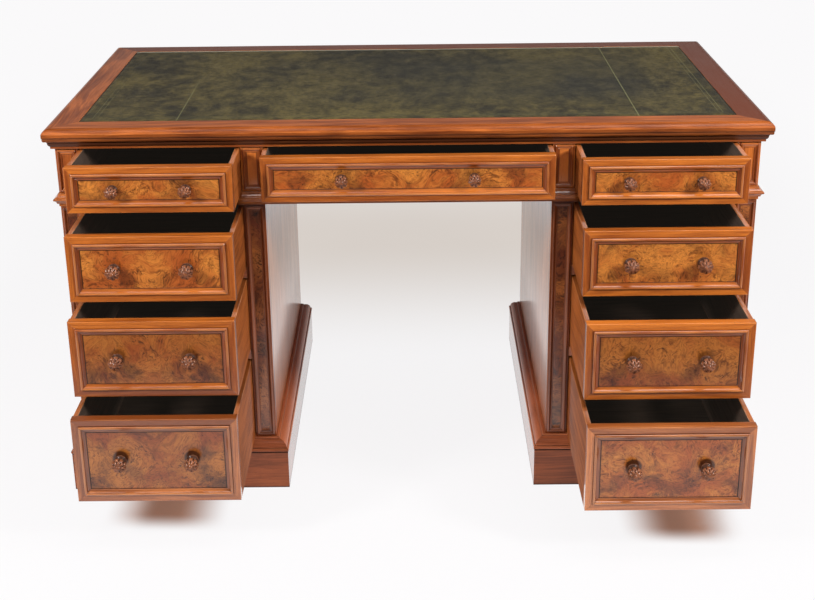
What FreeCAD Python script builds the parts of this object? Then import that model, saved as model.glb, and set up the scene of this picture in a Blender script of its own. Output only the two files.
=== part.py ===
import FreeCAD, Part
import math
import os
import re

import Sketcher

# A pedestal desk in walnut and burr walnut: a leathered top on a frieze with
# three drawers, standing on two pedestals with three drawers each. Millimetres,
# +X to the right, +Y to the back, +Z up. The origin is on the floor, under the
# middle of the desk as it stands with its drawers pulled out.

doc = FreeCAD.newDocument("pedestal_desk")

# Driving dimensions

SIZES = [
    ("desk_height", 762, "floor to writing surface"),
    ("top_width", 1380, "top, over the widest line of its edge"),
    ("top_depth", 762, "top, front to back"),
    ("top_overhang", 19.5, "top beyond the carcass, all round"),
    ("top_thickness", 24.5, "border and edge of the top"),
    ("border_width", 60, "walnut border round the leather"),
    ("leather_thickness", 1.2, "writing leather"),
    ("thumb_width", 11, "sloped part of the top's edge, in plan"),
    ("thumb_drop", 9.5, "sloped part of the top's edge, in height"),
    ("thumb_radius", 15, "crown of the sloped edge"),
    ("fascia_height", 8, "upright band under the slope"),
    ("edge_bead_inset", 1.5, "edge bead behind the band"),
    ("edge_bead_lean", 1.3, "bead's lower line behind its upper one"),
    ("edge_bead_radius", 6, "roundness of the edge bead"),
    ("under_height", 15.5, "moulding under the top"),
    ("under_projection", 12, "moulding under the top, beyond the frieze"),
    ("under_fillet", 2.5, "square lip at the moulding's head"),
    ("under_step", 1.2, "lip beyond the round below it"),
    ("under_round_height", 8.5, "round of the moulding"),
    ("under_round_width", 4, "round of the moulding, in plan"),
    ("under_round_radius", 8, "round of the moulding"),
    ("kneehole_share", 0.4116, "kneehole's share of the carcass width"),
    ("stile_width", 42.5, "posts and stiles"),
    ("stile_thickness", 22, "posts, stiles and front rails"),
    ("side_thickness", 20, "carcass sides"),
    ("back_thickness", 12, "carcass backs"),
    ("frieze_floor_thickness", 16.5, "floor and bottom rail of the frieze"),
    ("frieze_rail_height", 15.5, "top rail of the frieze"),
    ("pedestal_top_thickness", 11.5, "top board of a pedestal"),
    ("pedestal_floor_thickness", 16, "bottom board of a pedestal"),
    ("frieze_opening_share", 0.164, "frieze drawers' share of the openings' height"),
    ("upper_opening_share", 0.238, "upper drawers' share of the openings' height"),
    ("middle_opening_share", 0.281, "middle drawers' share of it; the lower ones take the rest"),
    ("blade_thickness", 20.5, "rails between the pedestal's drawers"),
    ("blade_depth", 60, "rails between the pedestal's drawers"),
    ("runner_width", 45, "strips that the drawers run on"),
    ("dust_panel_thickness", 6, "thin panels between the runners"),
    ("guide_height", 18, "strips beside the drawers"),
    ("kicker_width", 85, "strips over the frieze drawers"),
    ("stop_length", 40, "drawer stops"),
    ("stop_depth", 12, "drawer stops"),
    ("stop_height", 4, "drawer stops"),
    ("stop_spacing_share", 0.48, "between a drawer's two stops, as a share of the opening"),
    ("stop_gap", 0.3, "closed drawer front to its stops"),
    ("dowel_radius", 5, "dowels between frieze and pedestals"),
    ("dowel_depth", 8, "dowel in each board"),
    ("dowel_clearance", 0.1, "dowel in its hole, all round"),
    ("dowel_inset", 60, "dowels from the pedestal's edges"),
    ("waist_height", 26, "moulding round the waist"),
    ("waist_projection", 11, "moulding round the waist"),
    ("waist_drop", 9.5, "waist moulding below the frieze"),
    ("waist_lip", 1.2, "head of the waist moulding"),
    ("waist_cove_height", 8.3, "upper hollow of the waist moulding"),
    ("waist_cove_width", 8, "upper hollow of the waist moulding"),
    ("waist_cove_radius", 12, "upper hollow of the waist moulding"),
    ("waist_nose_height", 4, "nose of the waist moulding"),
    ("waist_nose_radius", 2.9, "nose of the waist moulding"),
    ("waist_nose_step", 0.8, "nose beyond the hollows"),
    ("waist_under_height", 6.5, "lower hollow of the waist moulding"),
    ("waist_under_width", 5, "lower hollow of the waist moulding"),
    ("waist_under_radius", 7, "lower hollow of the waist moulding"),
    ("waist_foot_width", 2, "foot of the waist moulding"),
    ("plinth_height", 82, "plain plinth board"),
    ("plinth_projection", 24, "plinth board beyond the pedestal"),
    ("plinth_moulding_height", 25, "moulding on the plinth"),
    ("plinth_bead_height", 7, "bead at the foot of the plinth moulding"),
    ("plinth_bead_overhang", 1.5, "bead beyond the plinth board"),
    ("plinth_bead_step", 2, "bead's crown beyond its edges"),
    ("plinth_bead_radius", 4.1, "bead at the foot of the plinth moulding"),
    ("plinth_quirk", 3.5, "groove behind the bead"),
    ("plinth_quirk_height", 1.5, "groove over the bead"),
    ("plinth_slope_width", 16, "round slope of the plinth moulding"),
    ("plinth_slope_height", 13.5, "round slope of the plinth moulding"),
    ("plinth_slope_radius", 17, "round slope of the plinth moulding"),
    ("drawer_gap", 1.5, "drawer front to its opening, all round"),
    ("running_gap", 0.3, "drawer box over its runners"),
    ("front_thickness", 20, "drawer fronts"),
    ("front_border_frieze", 12, "plain border of a frieze drawer front"),
    ("front_border_pedestal", 13.5, "plain border of a pedestal drawer front"),
    ("front_moulding_width", 12, "mitred moulding on a drawer front"),
    ("field_depth", 5, "sunk field that holds moulding and burr panel"),
    ("burr_thickness", 3, "burr walnut panel"),
    ("front_bead_width", 5, "round outer bead of the moulding"),
    ("front_bead_shoulder", 2.5, "bead's outer line above the border"),
    ("front_bead_rise", 3.5, "bead's inner line above the border"),
    ("front_bead_radius", 3.2, "round outer bead of the moulding"),
    ("front_quirk", 1, "step between bead and hollow"),
    ("front_cove_drop", 4, "hollow of the moulding"),
    ("front_cove_radius", 6.5, "hollow of the moulding"),
    ("front_sight_lip", 1, "flat lip at the burr panel"),
    ("post_border", 3.5, "plain margin of a post or stile"),
    ("post_moulding_width", 9, "small mitred moulding on a post"),
    ("post_bead_width", 3.8, "round outer bead of the small moulding"),
    ("post_bead_shoulder", 2, "bead's outer line above the post"),
    ("post_bead_rise", 3.2, "bead's inner line above the post"),
    ("post_bead_radius", 2.6, "round outer bead of the small moulding"),
    ("post_quirk", 0.8, "step between bead and hollow"),
    ("post_cove_drop", 1.4, "hollow of the small moulding"),
    ("post_cove_radius", 4.6, "hollow of the small moulding"),
    ("post_sight_lip", 0.8, "flat lip inside the small moulding"),
    ("strip_thickness", 1, "burr strip on a pedestal stile"),
    ("drawer_length", 660, "front face to back of the drawer box"),
    ("box_side_thickness", 9, "drawer sides"),
    ("box_back_thickness", 9, "drawer back"),
    ("box_bottom_thickness", 6, "drawer bottom"),
    ("box_bottom_rise", 8, "drawer bottom above the lower edge of the sides"),
    ("box_groove_depth", 4, "groove that holds the drawer bottom"),
    ("box_top_drop", 3, "drawer sides below the top of the front"),
    ("box_back_drop", 6, "drawer back below the top of the sides"),
    ("knob_spacing_share_side", 0.433, "between a narrow drawer's knobs, as a share of the opening"),
    ("knob_spacing_share_centre", 0.4475, "between the centre drawer's knobs, as a share of it"),
    ("knob_base_radius", 12.5, "turned foot of a knob"),
    ("knob_base_height", 3.5, "turned foot of a knob"),
    ("knob_shoulder_radius", 9, "slope of the foot"),
    ("knob_shoulder_height", 2.5, "slope of the foot"),
    ("knob_neck_radius", 6, "neck of a knob"),
    ("knob_neck_height", 7, "neck of a knob"),
    ("knob_head_radius", 13, "carved head of a knob"),
    ("knob_flare_height", 6, "neck to the widest line of the head"),
    ("knob_rim_height", 5, "upright rim of the head"),
    ("knob_dome_height", 7, "dome of the head"),
    ("knob_button_radius", 4, "button in the middle of the head"),
    ("knob_button_height", 3, "button in the middle of the head"),
    ("knob_scallop_radius", 3.1, "hollows between the petals"),
    ("knob_scallop_ring", 14.5, "axes of the hollows between the petals"),
    ("knob_petals", 8, "petals of a knob's head"),
    ("knob_spigot_radius", 5, "spigot glued into the front"),
    ("knob_spigot_length", 14, "spigot glued into the front"),
    ("knob_small_share", 0.88, "frieze drawer knobs, as a share of the others"),
    ("spigot_clearance", 0.1, "spigot in its hole, all round"),
    ("pull_centre", 78, "centre drawer, as it stands"),
    ("pull_left_frieze", 131, "left frieze drawer, as it stands"),
    ("pull_left_upper", 175.5, "left upper drawer, as it stands"),
    ("pull_left_middle", 216, "left middle drawer, as it stands"),
    ("pull_left_lower", 267, "left lower drawer, as it stands"),
    ("pull_right_frieze", 115, "right frieze drawer, as it stands"),
    ("pull_right_upper", 172, "right upper drawer, as it stands"),
    ("pull_right_middle", 250, "right middle drawer, as it stands"),
    ("pull_right_lower", 319, "right lower drawer, as it stands"),
    ("cutter_overrun", 5, "cutters beyond what they cut"),
]

# Places that follow from the driving dimensions

PLACES = [
    ("carcass_width", "top_width - 2 * top_overhang"),
    ("carcass_depth", "top_depth - 2 * top_overhang"),
    ("carcass_half", "carcass_width / 2"),
    ("kneehole_width", "carcass_width * kneehole_share"),
    ("pedestal_width", "(carcass_width - kneehole_width) / 2"),
    ("pedestal_centre", "(kneehole_width + pedestal_width) / 2"),
    ("opening_width", "pedestal_width - 2 * stile_width"),
    ("post_centre", "(kneehole_width + stile_width) / 2"),
    ("outer_post_centre", "carcass_half - stile_width / 2"),
    ("inner_width", "pedestal_width - 2 * side_thickness"),
    ("frieze_inner_half", "carcass_half - side_thickness"),
    ("back_face", "carcass_depth - back_thickness"),
    ("lower_level", "plinth_height + plinth_moulding_height"),
    ("openings_total", "desk_height - top_thickness - frieze_rail_height - frieze_floor_thickness"
                       " - pedestal_top_thickness - 2 * blade_thickness - lower_level"),
    ("frieze_opening_height", "openings_total * frieze_opening_share"),
    ("upper_opening_height", "openings_total * upper_opening_share"),
    ("middle_opening_height", "openings_total * middle_opening_share"),
    ("lower_opening_height", "openings_total - frieze_opening_height - upper_opening_height"
                             " - middle_opening_height"),
    ("lower_ceiling", "lower_level + lower_opening_height"),
    ("middle_level", "lower_ceiling + blade_thickness"),
    ("middle_ceiling", "middle_level + middle_opening_height"),
    ("upper_level", "middle_ceiling + blade_thickness"),
    ("upper_ceiling", "upper_level + upper_opening_height"),
    ("pedestal_height", "upper_ceiling + pedestal_top_thickness"),
    ("frieze_level", "pedestal_height + frieze_floor_thickness"),
    ("frieze_ceiling", "frieze_level + frieze_opening_height"),
    ("top_underside", "desk_height - top_thickness"),
    ("knob_reach", "knob_base_height + knob_shoulder_height + knob_neck_height"
                   " + knob_flare_height + knob_rim_height + knob_dome_height + knob_button_height"),
    ("panel_sink", "field_depth - burr_thickness"),
    ("furthest_pull", "max(pull_centre; pull_left_frieze; pull_left_upper; pull_left_middle;"
                      " pull_left_lower; pull_right_frieze; pull_right_upper; pull_right_middle;"
                      " pull_right_lower)"),
    ("back_reach", "max(top_overhang; plinth_projection + plinth_bead_overhang)"),
    ("front_plane", "(furthest_pull + knob_reach - panel_sink - carcass_depth - back_reach) / 2"),
    ("dowel_across", "pedestal_width / 2 - dowel_inset"),
    ("knob_head_base", "knob_base_height + knob_shoulder_height + knob_neck_height"),
]

SHEET_OF = {}


def bound(formula):
    """Turns the plain names in a formula into references to the sheets' cells."""
    def cell(name):
        return SHEET_OF[name.group()] + "." + name.group()

    return re.sub("[a-z]+(_[a-z]+)+", cell, formula)


def value(formula):
    """The number that a formula gives with the present sizes."""
    return float(sizes.evalExpression(bound(formula)))


sizes = doc.addObject("Spreadsheet::Sheet", "Sizes")
for row, (name, size, meaning) in enumerate(SIZES, 1):
    sizes.set("A%d" % row, meaning)
    sizes.set("B%d" % row, str(size))
    sizes.setAlias("B%d" % row, name)
    SHEET_OF[name] = "Sizes"
doc.recompute()

places = doc.addObject("Spreadsheet::Sheet", "Places")
for row, (name, formula) in enumerate(PLACES, 1):
    places.set("A%d" % row, name)
    places.set("B%d" % row, "=" + bound(formula).replace("Places.", ""))
    places.setAlias("B%d" % row, name)
    SHEET_OF[name] = "Places"
doc.recompute()

# Makers of single solids


def bind(piece, settings):
    """Sets properties of an object by formulas."""
    for path, formula in settings.items():
        piece.setExpression(path, bound(formula))


def move(piece, x="0", y="0", z="0"):
    """Places an object by formulas."""
    bind(piece, {"Placement.Base.x": x, "Placement.Base.y": y, "Placement.Base.z": z})
    return piece


def board(name, x, y, z):
    """A plain rectangular board between two formulas on each axis."""
    piece = doc.addObject("Part::Box", name)
    bind(piece, {"Length": "(%s) - (%s)" % (x[1], x[0]),
                 "Width": "(%s) - (%s)" % (y[1], y[0]),
                 "Height": "(%s) - (%s)" % (z[1], z[0])})
    return move(piece, x[0], y[0], z[0])


def plane_of(body, role):
    """One of the origin planes of a body."""
    return next(feature for feature in body.Origin.OriginFeatures if feature.Role == role)


def sketch_on(body, role, name, lift="0"):
    """An empty sketch on an origin plane of the body, lifted along its normal."""
    sketch = body.newObject("Sketcher::SketchObject", name)
    sketch.AttachmentSupport = [(plane_of(body, role), "")]
    sketch.MapMode = "FlatFace"
    sketch.setExpression("AttachmentOffset.Base.z", bound(lift))
    return sketch


def pin_point(sketch, edge, end, x, y):
    """Fixes one end of an edge at a place given by two formulas."""
    for axis, kind, formula in ((-2, "DistanceX", x), (-1, "DistanceY", y)):
        if str(formula) == "0":
            sketch.addConstraint(Sketcher.Constraint("PointOnObject", edge, end, axis))
        else:
            index = sketch.addConstraint(Sketcher.Constraint(kind, -1, 1, edge, end, value(formula)))
            sketch.setExpression("Constraints[%d]" % index, bound(formula))


def add_outline(sketch, corners):
    """Adds a closed outline. A corner is (x, y), or (x, y, radius, side) where the
    edge that arrives there is an arc that bulges to the left (1) or right (-1)."""
    start_edge = sketch.GeometryCount
    spots = [FreeCAD.Vector(value(corner[0]), value(corner[1]), 0) for corner in corners]
    ends = []
    for index, corner in enumerate(corners):
        first, last = spots[index - 1], spots[index]
        if len(corner) == 2:
            sketch.addGeometry(Part.LineSegment(first, last))
            ends.append((1, 2))
            continue
        chord = last - first
        radius = value(corner[2])
        depth = math.sqrt(radius * radius - chord.Length * chord.Length / 4)
        left = FreeCAD.Vector(-chord.y, chord.x, 0).normalize()
        middle = (first + last) / 2 - left * (depth * corner[3])
        start, stop = (last, first) if corner[3] > 0 else (first, last)
        angles = [math.atan2(spot.y - middle.y, spot.x - middle.x) for spot in (start, stop)]
        circle = Part.Circle(middle, FreeCAD.Vector(0, 0, 1), radius)
        sketch.addGeometry(Part.ArcOfCircle(circle, *angles))
        ends.append((2, 1) if corner[3] > 0 else (1, 2))
    for index, corner in enumerate(corners):
        edge = start_edge + index
        follower = start_edge + (index + 1) % len(corners)
        follower_start = ends[(index + 1) % len(corners)][0]
        joined = ("Coincident", edge, ends[index][1], follower, follower_start)
        sketch.addConstraint(Sketcher.Constraint(*joined))
        pin_point(sketch, edge, ends[index][1], corner[0], corner[1])
        if len(corner) == 4:
            at = sketch.addConstraint(Sketcher.Constraint("Radius", edge, value(corner[2])))
            sketch.setExpression("Constraints[%d]" % at, bound(corner[2]))


def add_rectangle(sketch, x, y):
    """Adds a rectangle between two formulas on each axis."""
    add_outline(sketch, [(x[0], y[0]), (x[1], y[0]), (x[1], y[1]), (x[0], y[1])])


def add_circle(sketch, x, y, radius):
    """Adds a circle whose middle and radius are formulas."""
    middle = FreeCAD.Vector(value(x), value(y), 0)
    edge = sketch.addGeometry(Part.Circle(middle, FreeCAD.Vector(0, 0, 1), value(radius)))
    pin_point(sketch, edge, 3, x, y)
    at = sketch.addConstraint(Sketcher.Constraint("Radius", edge, value(radius)))
    sketch.setExpression("Constraints[%d]" % at, bound(radius))


def pad(body, sketch, length, reverse=False, both_ways=False):
    """Raises a solid from a sketch."""
    feature = body.newObject("PartDesign::Pad", sketch.Name + "_pad")
    feature.Profile = sketch
    bind(feature, {"Length": length})
    feature.Reversed = reverse
    feature.Midplane = both_ways
    return feature


def pocket(body, sketch, length, reverse=False, both_ways=False):
    """Cuts into a solid from a sketch."""
    feature = body.newObject("PartDesign::Pocket", sketch.Name + "_cut")
    feature.Profile = sketch
    bind(feature, {"Length": length})
    feature.Reversed = reverse
    feature.Midplane = both_ways
    return feature


def mitred_length(name, profile, half, width, height):
    """A length of moulding along X whose ends are mitred. The profile is drawn with
    its outer line on the X axis and its inner side towards +Y."""
    body = doc.addObject("PartDesign::Body", name)
    section = sketch_on(body, "YZ_Plane", name + "_section")
    add_outline(section, profile)
    pad(body, section, "2 * (%s)" % half, both_ways=True)
    mitres = sketch_on(body, "XY_Plane", name + "_mitres")
    for side in ("", "-"):
        corner = "%s(%s + cutter_overrun)" % (side, half)
        back = "%s + cutter_overrun" % width
        add_outline(mitres, [(corner, "-cutter_overrun"), (corner, back),
                             ("%s(%s - (%s))" % (side, half, back), back)])
    pocket(body, mitres, "2 * (%s + cutter_overrun)" % height, both_ways=True)
    return body


def copy_of(source, name):
    """A second piece like the source, with a place of its own."""
    twin = doc.addObject("App::Link", name)
    twin.setLink(source)
    return twin


QUARTER_TURN = 90


def turn(piece, quarters):
    """Turns a piece about its own upright axis."""
    piece.Placement.Rotation = FreeCAD.Rotation(FreeCAD.Vector(0, 0, 1), quarters * QUARTER_TURN)
    return piece


def mitred_frame(name, profile, x, y, width, height, z="0"):
    """Four mitred lengths round a flat rectangle between two formulas on each axis."""
    middle_x = "((%s) + (%s)) / 2" % (x[0], x[1])
    middle_y = "((%s) + (%s)) / 2" % (y[0], y[1])
    near = mitred_length(name + "_near", profile, "((%s) - (%s)) / 2" % (x[1], x[0]), width, height)
    right = mitred_length(name + "_right", profile, "((%s) - (%s)) / 2" % (y[1], y[0]), width, height)
    far = copy_of(near, name + "_far")
    left = copy_of(right, name + "_left")
    return [move(near, middle_x, y[0], z),
            move(turn(far, 2), middle_x, y[1], z),
            move(turn(right, 1), x[1], middle_y, z),
            move(turn(left, -1), x[0], middle_y, z)]


# Nodes: each is one named sub-part, whose solids are gathered in a compound

NODES = []
UPRIGHT = FreeCAD.Rotation(FreeCAD.Vector(1, 0, 0), QUARTER_TURN)


def node(name, pieces, x="0", y="front_plane", z="0", upright=False):
    """Gathers pieces as one sub-part. Upright stands a flat front on its edge."""
    group = doc.addObject("Part::Compound", name)
    group.Label = name
    group.Links = pieces
    if upright:
        group.Placement.Rotation = UPRIGHT
    NODES.append(move(group, x, y, z))


# Top: core board, mitred border with its moulded edge, leather, moulding below

BORDER_PROFILE = [
    ("border_width", "0"),
    ("border_width", "top_thickness"),
    ("thumb_width", "top_thickness"),
    ("0", "top_thickness - thumb_drop", "thumb_radius", -1),
    ("0", "top_thickness - thumb_drop - fascia_height"),
    ("edge_bead_inset", "top_thickness - thumb_drop - fascia_height"),
    ("edge_bead_inset + edge_bead_lean", "0", "edge_bead_radius", -1),
]
UNDER_PROFILE = [
    ("under_projection", "0"),
    ("under_projection", "under_height"),
    ("0", "under_height"),
    ("0", "under_height - under_fillet"),
    ("under_step", "under_height - under_fillet"),
    ("under_step + under_round_width", "under_height - under_fillet - under_round_height",
     "under_round_radius", -1),
    ("under_step + under_round_width", "0"),
]
top_x = ("-top_width / 2", "top_width / 2")
top_y = ("-top_overhang", "top_depth - top_overhang")
field_x = ("border_width - top_width / 2", "top_width / 2 - border_width")
field_y = ("border_width - top_overhang", "top_depth - top_overhang - border_width")
node("top_border",
     mitred_frame("border", BORDER_PROFILE, top_x, top_y, "border_width", "top_thickness", "top_underside"))
node("top_core_board",
     [board("core", field_x, field_y, ("top_underside", "desk_height - leather_thickness"))])
node("writing_leather",
     [board("leather", field_x, field_y, ("desk_height - leather_thickness", "desk_height"))])
node("under_top_moulding",
     mitred_frame("under", UNDER_PROFILE,
                  ("-carcass_half - under_projection", "carcass_half + under_projection"),
                  ("-under_projection", "carcass_depth + under_projection"),
                  "under_projection", "under_height", "top_underside - under_height"))

# Frieze: ends and back, rails, posts with their mouldings, floor and guides

whole = ("-carcass_half", "carcass_half")
inside = ("-frieze_inner_half", "frieze_inner_half")
front_strip = ("0", "stile_thickness")
behind_front = ("stile_thickness", "back_face")
node("frieze_ends_and_back", [
    board("left_end", ("-carcass_half", "-frieze_inner_half"), ("stile_thickness", "carcass_depth"),
          ("pedestal_height", "top_underside")),
    board("right_end", ("frieze_inner_half", "carcass_half"), ("stile_thickness", "carcass_depth"),
          ("pedestal_height", "top_underside")),
    board("frieze_back", inside, ("back_face", "carcass_depth"), ("pedestal_height", "top_underside"))])
node("frieze_rails", [
    board("top_rail", whole, front_strip, ("frieze_ceiling", "top_underside")),
    board("bottom_rail", whole, front_strip, ("pedestal_height", "frieze_level"))])

POST_MIDDLES = ["-outer_post_centre", "-post_centre", "post_centre", "outer_post_centre"]
node("frieze_posts", [
    board("post", ("%s - stile_width / 2" % middle, "%s + stile_width / 2" % middle), front_strip,
          ("frieze_level", "frieze_ceiling")) for middle in POST_MIDDLES])

POST_PROFILE = [
    ("0", "0"),
    ("0", "post_bead_shoulder"),
    ("post_bead_width", "post_bead_rise", "post_bead_radius", 1),
    ("post_bead_width", "post_bead_rise - post_quirk"),
    ("post_moulding_width - post_sight_lip", "post_bead_rise - post_quirk - post_cove_drop",
     "post_cove_radius", -1),
    ("post_moulding_width", "post_bead_rise - post_quirk - post_cove_drop"),
    ("post_moulding_width", "0"),
]


def panel_frame(name, low, high):
    """The small mitred frame on a post or stile, drawn flat about its middle line."""
    edge = "(stile_width / 2 - post_border)"
    return mitred_frame(name, POST_PROFILE, ("-" + edge, edge),
                        ("%s + post_border" % low, "%s - post_border" % high),
                        "post_moulding_width", "post_bead_rise + post_bead_width")


def stand_copies(name, pieces, middles):
    """Stands a flat group of pieces upright at each of several places along X."""
    flat = doc.addObject("Part::Compound", name + "_flat")
    flat.Links = pieces
    copies = [copy_of(flat, name + "_copy") for middle in middles]
    for twin, middle in zip(copies, middles):
        twin.Placement.Rotation = UPRIGHT
        move(twin, middle)
    return copies


node("frieze_post_mouldings",
     stand_copies("post_frame", panel_frame("post_frame", "frieze_level", "frieze_ceiling"), POST_MIDDLES))

floor = doc.addObject("PartDesign::Body", "floor")
floor_plan = sketch_on(floor, "XY_Plane", "floor_plan", "pedestal_height")
add_rectangle(floor_plan, inside, behind_front)
pad(floor, floor_plan, "frieze_floor_thickness")
floor_holes = sketch_on(floor, "XY_Plane", "floor_holes", "pedestal_height")
DOWEL_DEPTHS = ["dowel_inset", "back_face - dowel_inset"]
for side in ("-", ""):
    for offset in ("-", "+"):
        for depth in DOWEL_DEPTHS:
            add_circle(floor_holes, "%spedestal_centre %s dowel_across" % (side, offset), depth,
                       "dowel_radius + dowel_clearance")
pocket(floor, floor_holes, "dowel_depth + dowel_clearance", reverse=True)
node("frieze_floor", [floor])


def stops(name, middle, width, level):
    """The two stops that a drawer front meets when it is pushed home."""
    offset = "%s * stop_spacing_share / 2" % width
    return [board(name, ("%s %s %s - stop_length / 2" % (middle, side, offset),
                         "%s %s %s + stop_length / 2" % (middle, side, offset)),
                  ("front_thickness + stop_gap", "front_thickness + stop_gap + stop_depth"),
                  (level, "%s + stop_height" % level)) for side in ("-", "+")]


guides = []
guide_height = ("frieze_level", "frieze_level + guide_height")
above_drawers = ("frieze_ceiling", "top_underside")
for middle in ("-post_centre", "post_centre"):
    left_face = "%s - side_thickness / 2" % middle
    right_face = "%s + side_thickness / 2" % middle
    guides.append(board("divider", (left_face, right_face), behind_front,
                        ("frieze_level", "frieze_ceiling")))
    guides.append(board("guide", ("%s - stile_width / 2" % middle, left_face), behind_front, guide_height))
    guides.append(board("guide", (right_face, "%s + stile_width / 2" % middle), behind_front, guide_height))
    guides.append(board("kicker", ("%s - kicker_width / 2" % middle, "%s + kicker_width / 2" % middle),
                        behind_front, above_drawers))
guides += [
    board("guide", ("-frieze_inner_half", "stile_width - carcass_half"), behind_front, guide_height),
    board("guide", ("carcass_half - stile_width", "frieze_inner_half"), behind_front, guide_height),
    board("kicker", ("-frieze_inner_half", "runner_width - frieze_inner_half"),
          behind_front, above_drawers),
    board("kicker", ("frieze_inner_half - runner_width", "frieze_inner_half"),
          behind_front, above_drawers),
]
for middle, width in (("-pedestal_centre", "opening_width"), ("0", "kneehole_width"),
                      ("pedestal_centre", "opening_width")):
    guides += stops("frieze_stop", middle, width, "frieze_level")
node("frieze_guides", guides)

WAIST_PROFILE = [
    ("waist_projection", "0"),
    ("waist_projection", "waist_height"),
    ("waist_nose_step + waist_cove_width", "waist_height"),
    ("waist_nose_step + waist_cove_width", "waist_height - waist_lip"),
    ("waist_nose_step", "waist_height - waist_lip - waist_cove_height", "waist_cove_radius", 1),
    ("waist_nose_step", "waist_height - waist_lip - waist_cove_height - waist_nose_height",
     "waist_nose_radius", -1),
    ("waist_nose_step + waist_under_width",
     "waist_height - waist_lip - waist_cove_height - waist_nose_height - waist_under_height",
     "waist_under_radius", 1),
    ("waist_projection - waist_foot_width",
     "waist_height - waist_lip - waist_cove_height - waist_nose_height - waist_under_height"),
    ("waist_projection - waist_foot_width", "0"),
]
node("waist_moulding",
     mitred_frame("waist", WAIST_PROFILE,
                  ("-carcass_half - waist_projection", "carcass_half + waist_projection"),
                  ("-waist_projection", "carcass_depth + waist_projection"),
                  "waist_projection", "waist_height", "pedestal_height - waist_drop"))

dowels = []
for side in ("-", ""):
    for offset in ("-", "+"):
        for depth in DOWEL_DEPTHS:
            dowel = doc.addObject("Part::Cylinder", "dowel")
            bind(dowel, {"Radius": "dowel_radius", "Height": "2 * dowel_depth"})
            dowels.append(move(dowel, "%spedestal_centre %s dowel_across" % (side, offset), depth,
                               "pedestal_height - dowel_depth"))
node("locating_dowels", dowels)

# Pedestal, drawn once about its own middle line and set up left and right

case = [
    board("inner_side", ("-pedestal_width / 2", "side_thickness - pedestal_width / 2"),
          ("stile_thickness", "carcass_depth"), ("0", "pedestal_height")),
    board("outer_side", ("pedestal_width / 2 - side_thickness", "pedestal_width / 2"),
          ("stile_thickness", "carcass_depth"), ("0", "pedestal_height")),
    board("pedestal_back", ("-inner_width / 2", "inner_width / 2"), ("back_face", "carcass_depth"),
          ("0", "pedestal_height")),
]
stiles = [
    board("stile", ("-pedestal_width / 2", "stile_width - pedestal_width / 2"),
          front_strip, ("0", "pedestal_height")),
    board("stile", ("pedestal_width / 2 - stile_width", "pedestal_width / 2"),
          front_strip, ("0", "pedestal_height")),
]
across_opening = ("-opening_width / 2", "opening_width / 2")
across_inside = ("-inner_width / 2", "inner_width / 2")
top_board = doc.addObject("PartDesign::Body", "pedestal_top")
top_plan = sketch_on(top_board, "XY_Plane", "pedestal_top_plan", "pedestal_height")
add_rectangle(top_plan, across_inside, behind_front)
pad(top_board, top_plan, "pedestal_top_thickness", reverse=True)
top_holes = sketch_on(top_board, "XY_Plane", "pedestal_top_holes", "pedestal_height")
for offset in ("-", ""):
    for depth in DOWEL_DEPTHS:
        add_circle(top_holes, "%sdowel_across" % offset, depth, "dowel_radius + dowel_clearance")
pocket(top_board, top_holes, "dowel_depth + dowel_clearance")
under_lower = ("lower_level - pedestal_floor_thickness", "lower_level")
blades = [
    top_board,
    board("top_front_rail", across_opening, front_strip, ("upper_ceiling", "pedestal_height")),
    board("bottom_board", across_inside, behind_front, under_lower),
    board("bottom_front_rail", across_opening, front_strip, under_lower),
]
behind_blade = ("blade_depth", "back_face")
runners = []
for low, high in (("lower_ceiling", "middle_level"), ("middle_ceiling", "upper_level")):
    middle = "((%s) + (%s)) / 2" % (low, high)
    blades.append(board("blade", across_opening, ("0", "blade_depth"), (low, high)))
    blades.append(board("dust_panel", ("runner_width - inner_width / 2", "inner_width / 2 - runner_width"),
                        behind_blade, ("%s - dust_panel_thickness / 2" % middle,
                                       "%s + dust_panel_thickness / 2" % middle)))
    runners.append(board("runner", ("-inner_width / 2", "runner_width - inner_width / 2"),
                         behind_blade, (low, high)))
    runners.append(board("runner", ("inner_width / 2 - runner_width", "inner_width / 2"),
                         behind_blade, (low, high)))
for level in ("lower_level", "middle_level", "upper_level"):
    height = (level, "%s + guide_height" % level)
    runners.append(board("guide", ("-inner_width / 2", "-opening_width / 2"), behind_front, height))
    runners.append(board("guide", ("opening_width / 2", "inner_width / 2"), behind_front, height))
    runners += stops("pedestal_stop", "0", "opening_width", level)

stile_panel = panel_frame("stile_frame", "lower_level", "pedestal_height - waist_drop")
stile_panel.append(board(
    "burr_strip", ("post_border + post_moulding_width - stile_width / 2",
                   "stile_width / 2 - post_border - post_moulding_width"),
    ("lower_level + post_border + post_moulding_width",
     "pedestal_height - waist_drop - post_border - post_moulding_width"), ("0", "strip_thickness")))
stile_middles = ["stile_width / 2 - pedestal_width / 2", "pedestal_width / 2 - stile_width / 2"]
stile_panels = stand_copies("stile_panel", stile_panel, stile_middles)

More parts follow.
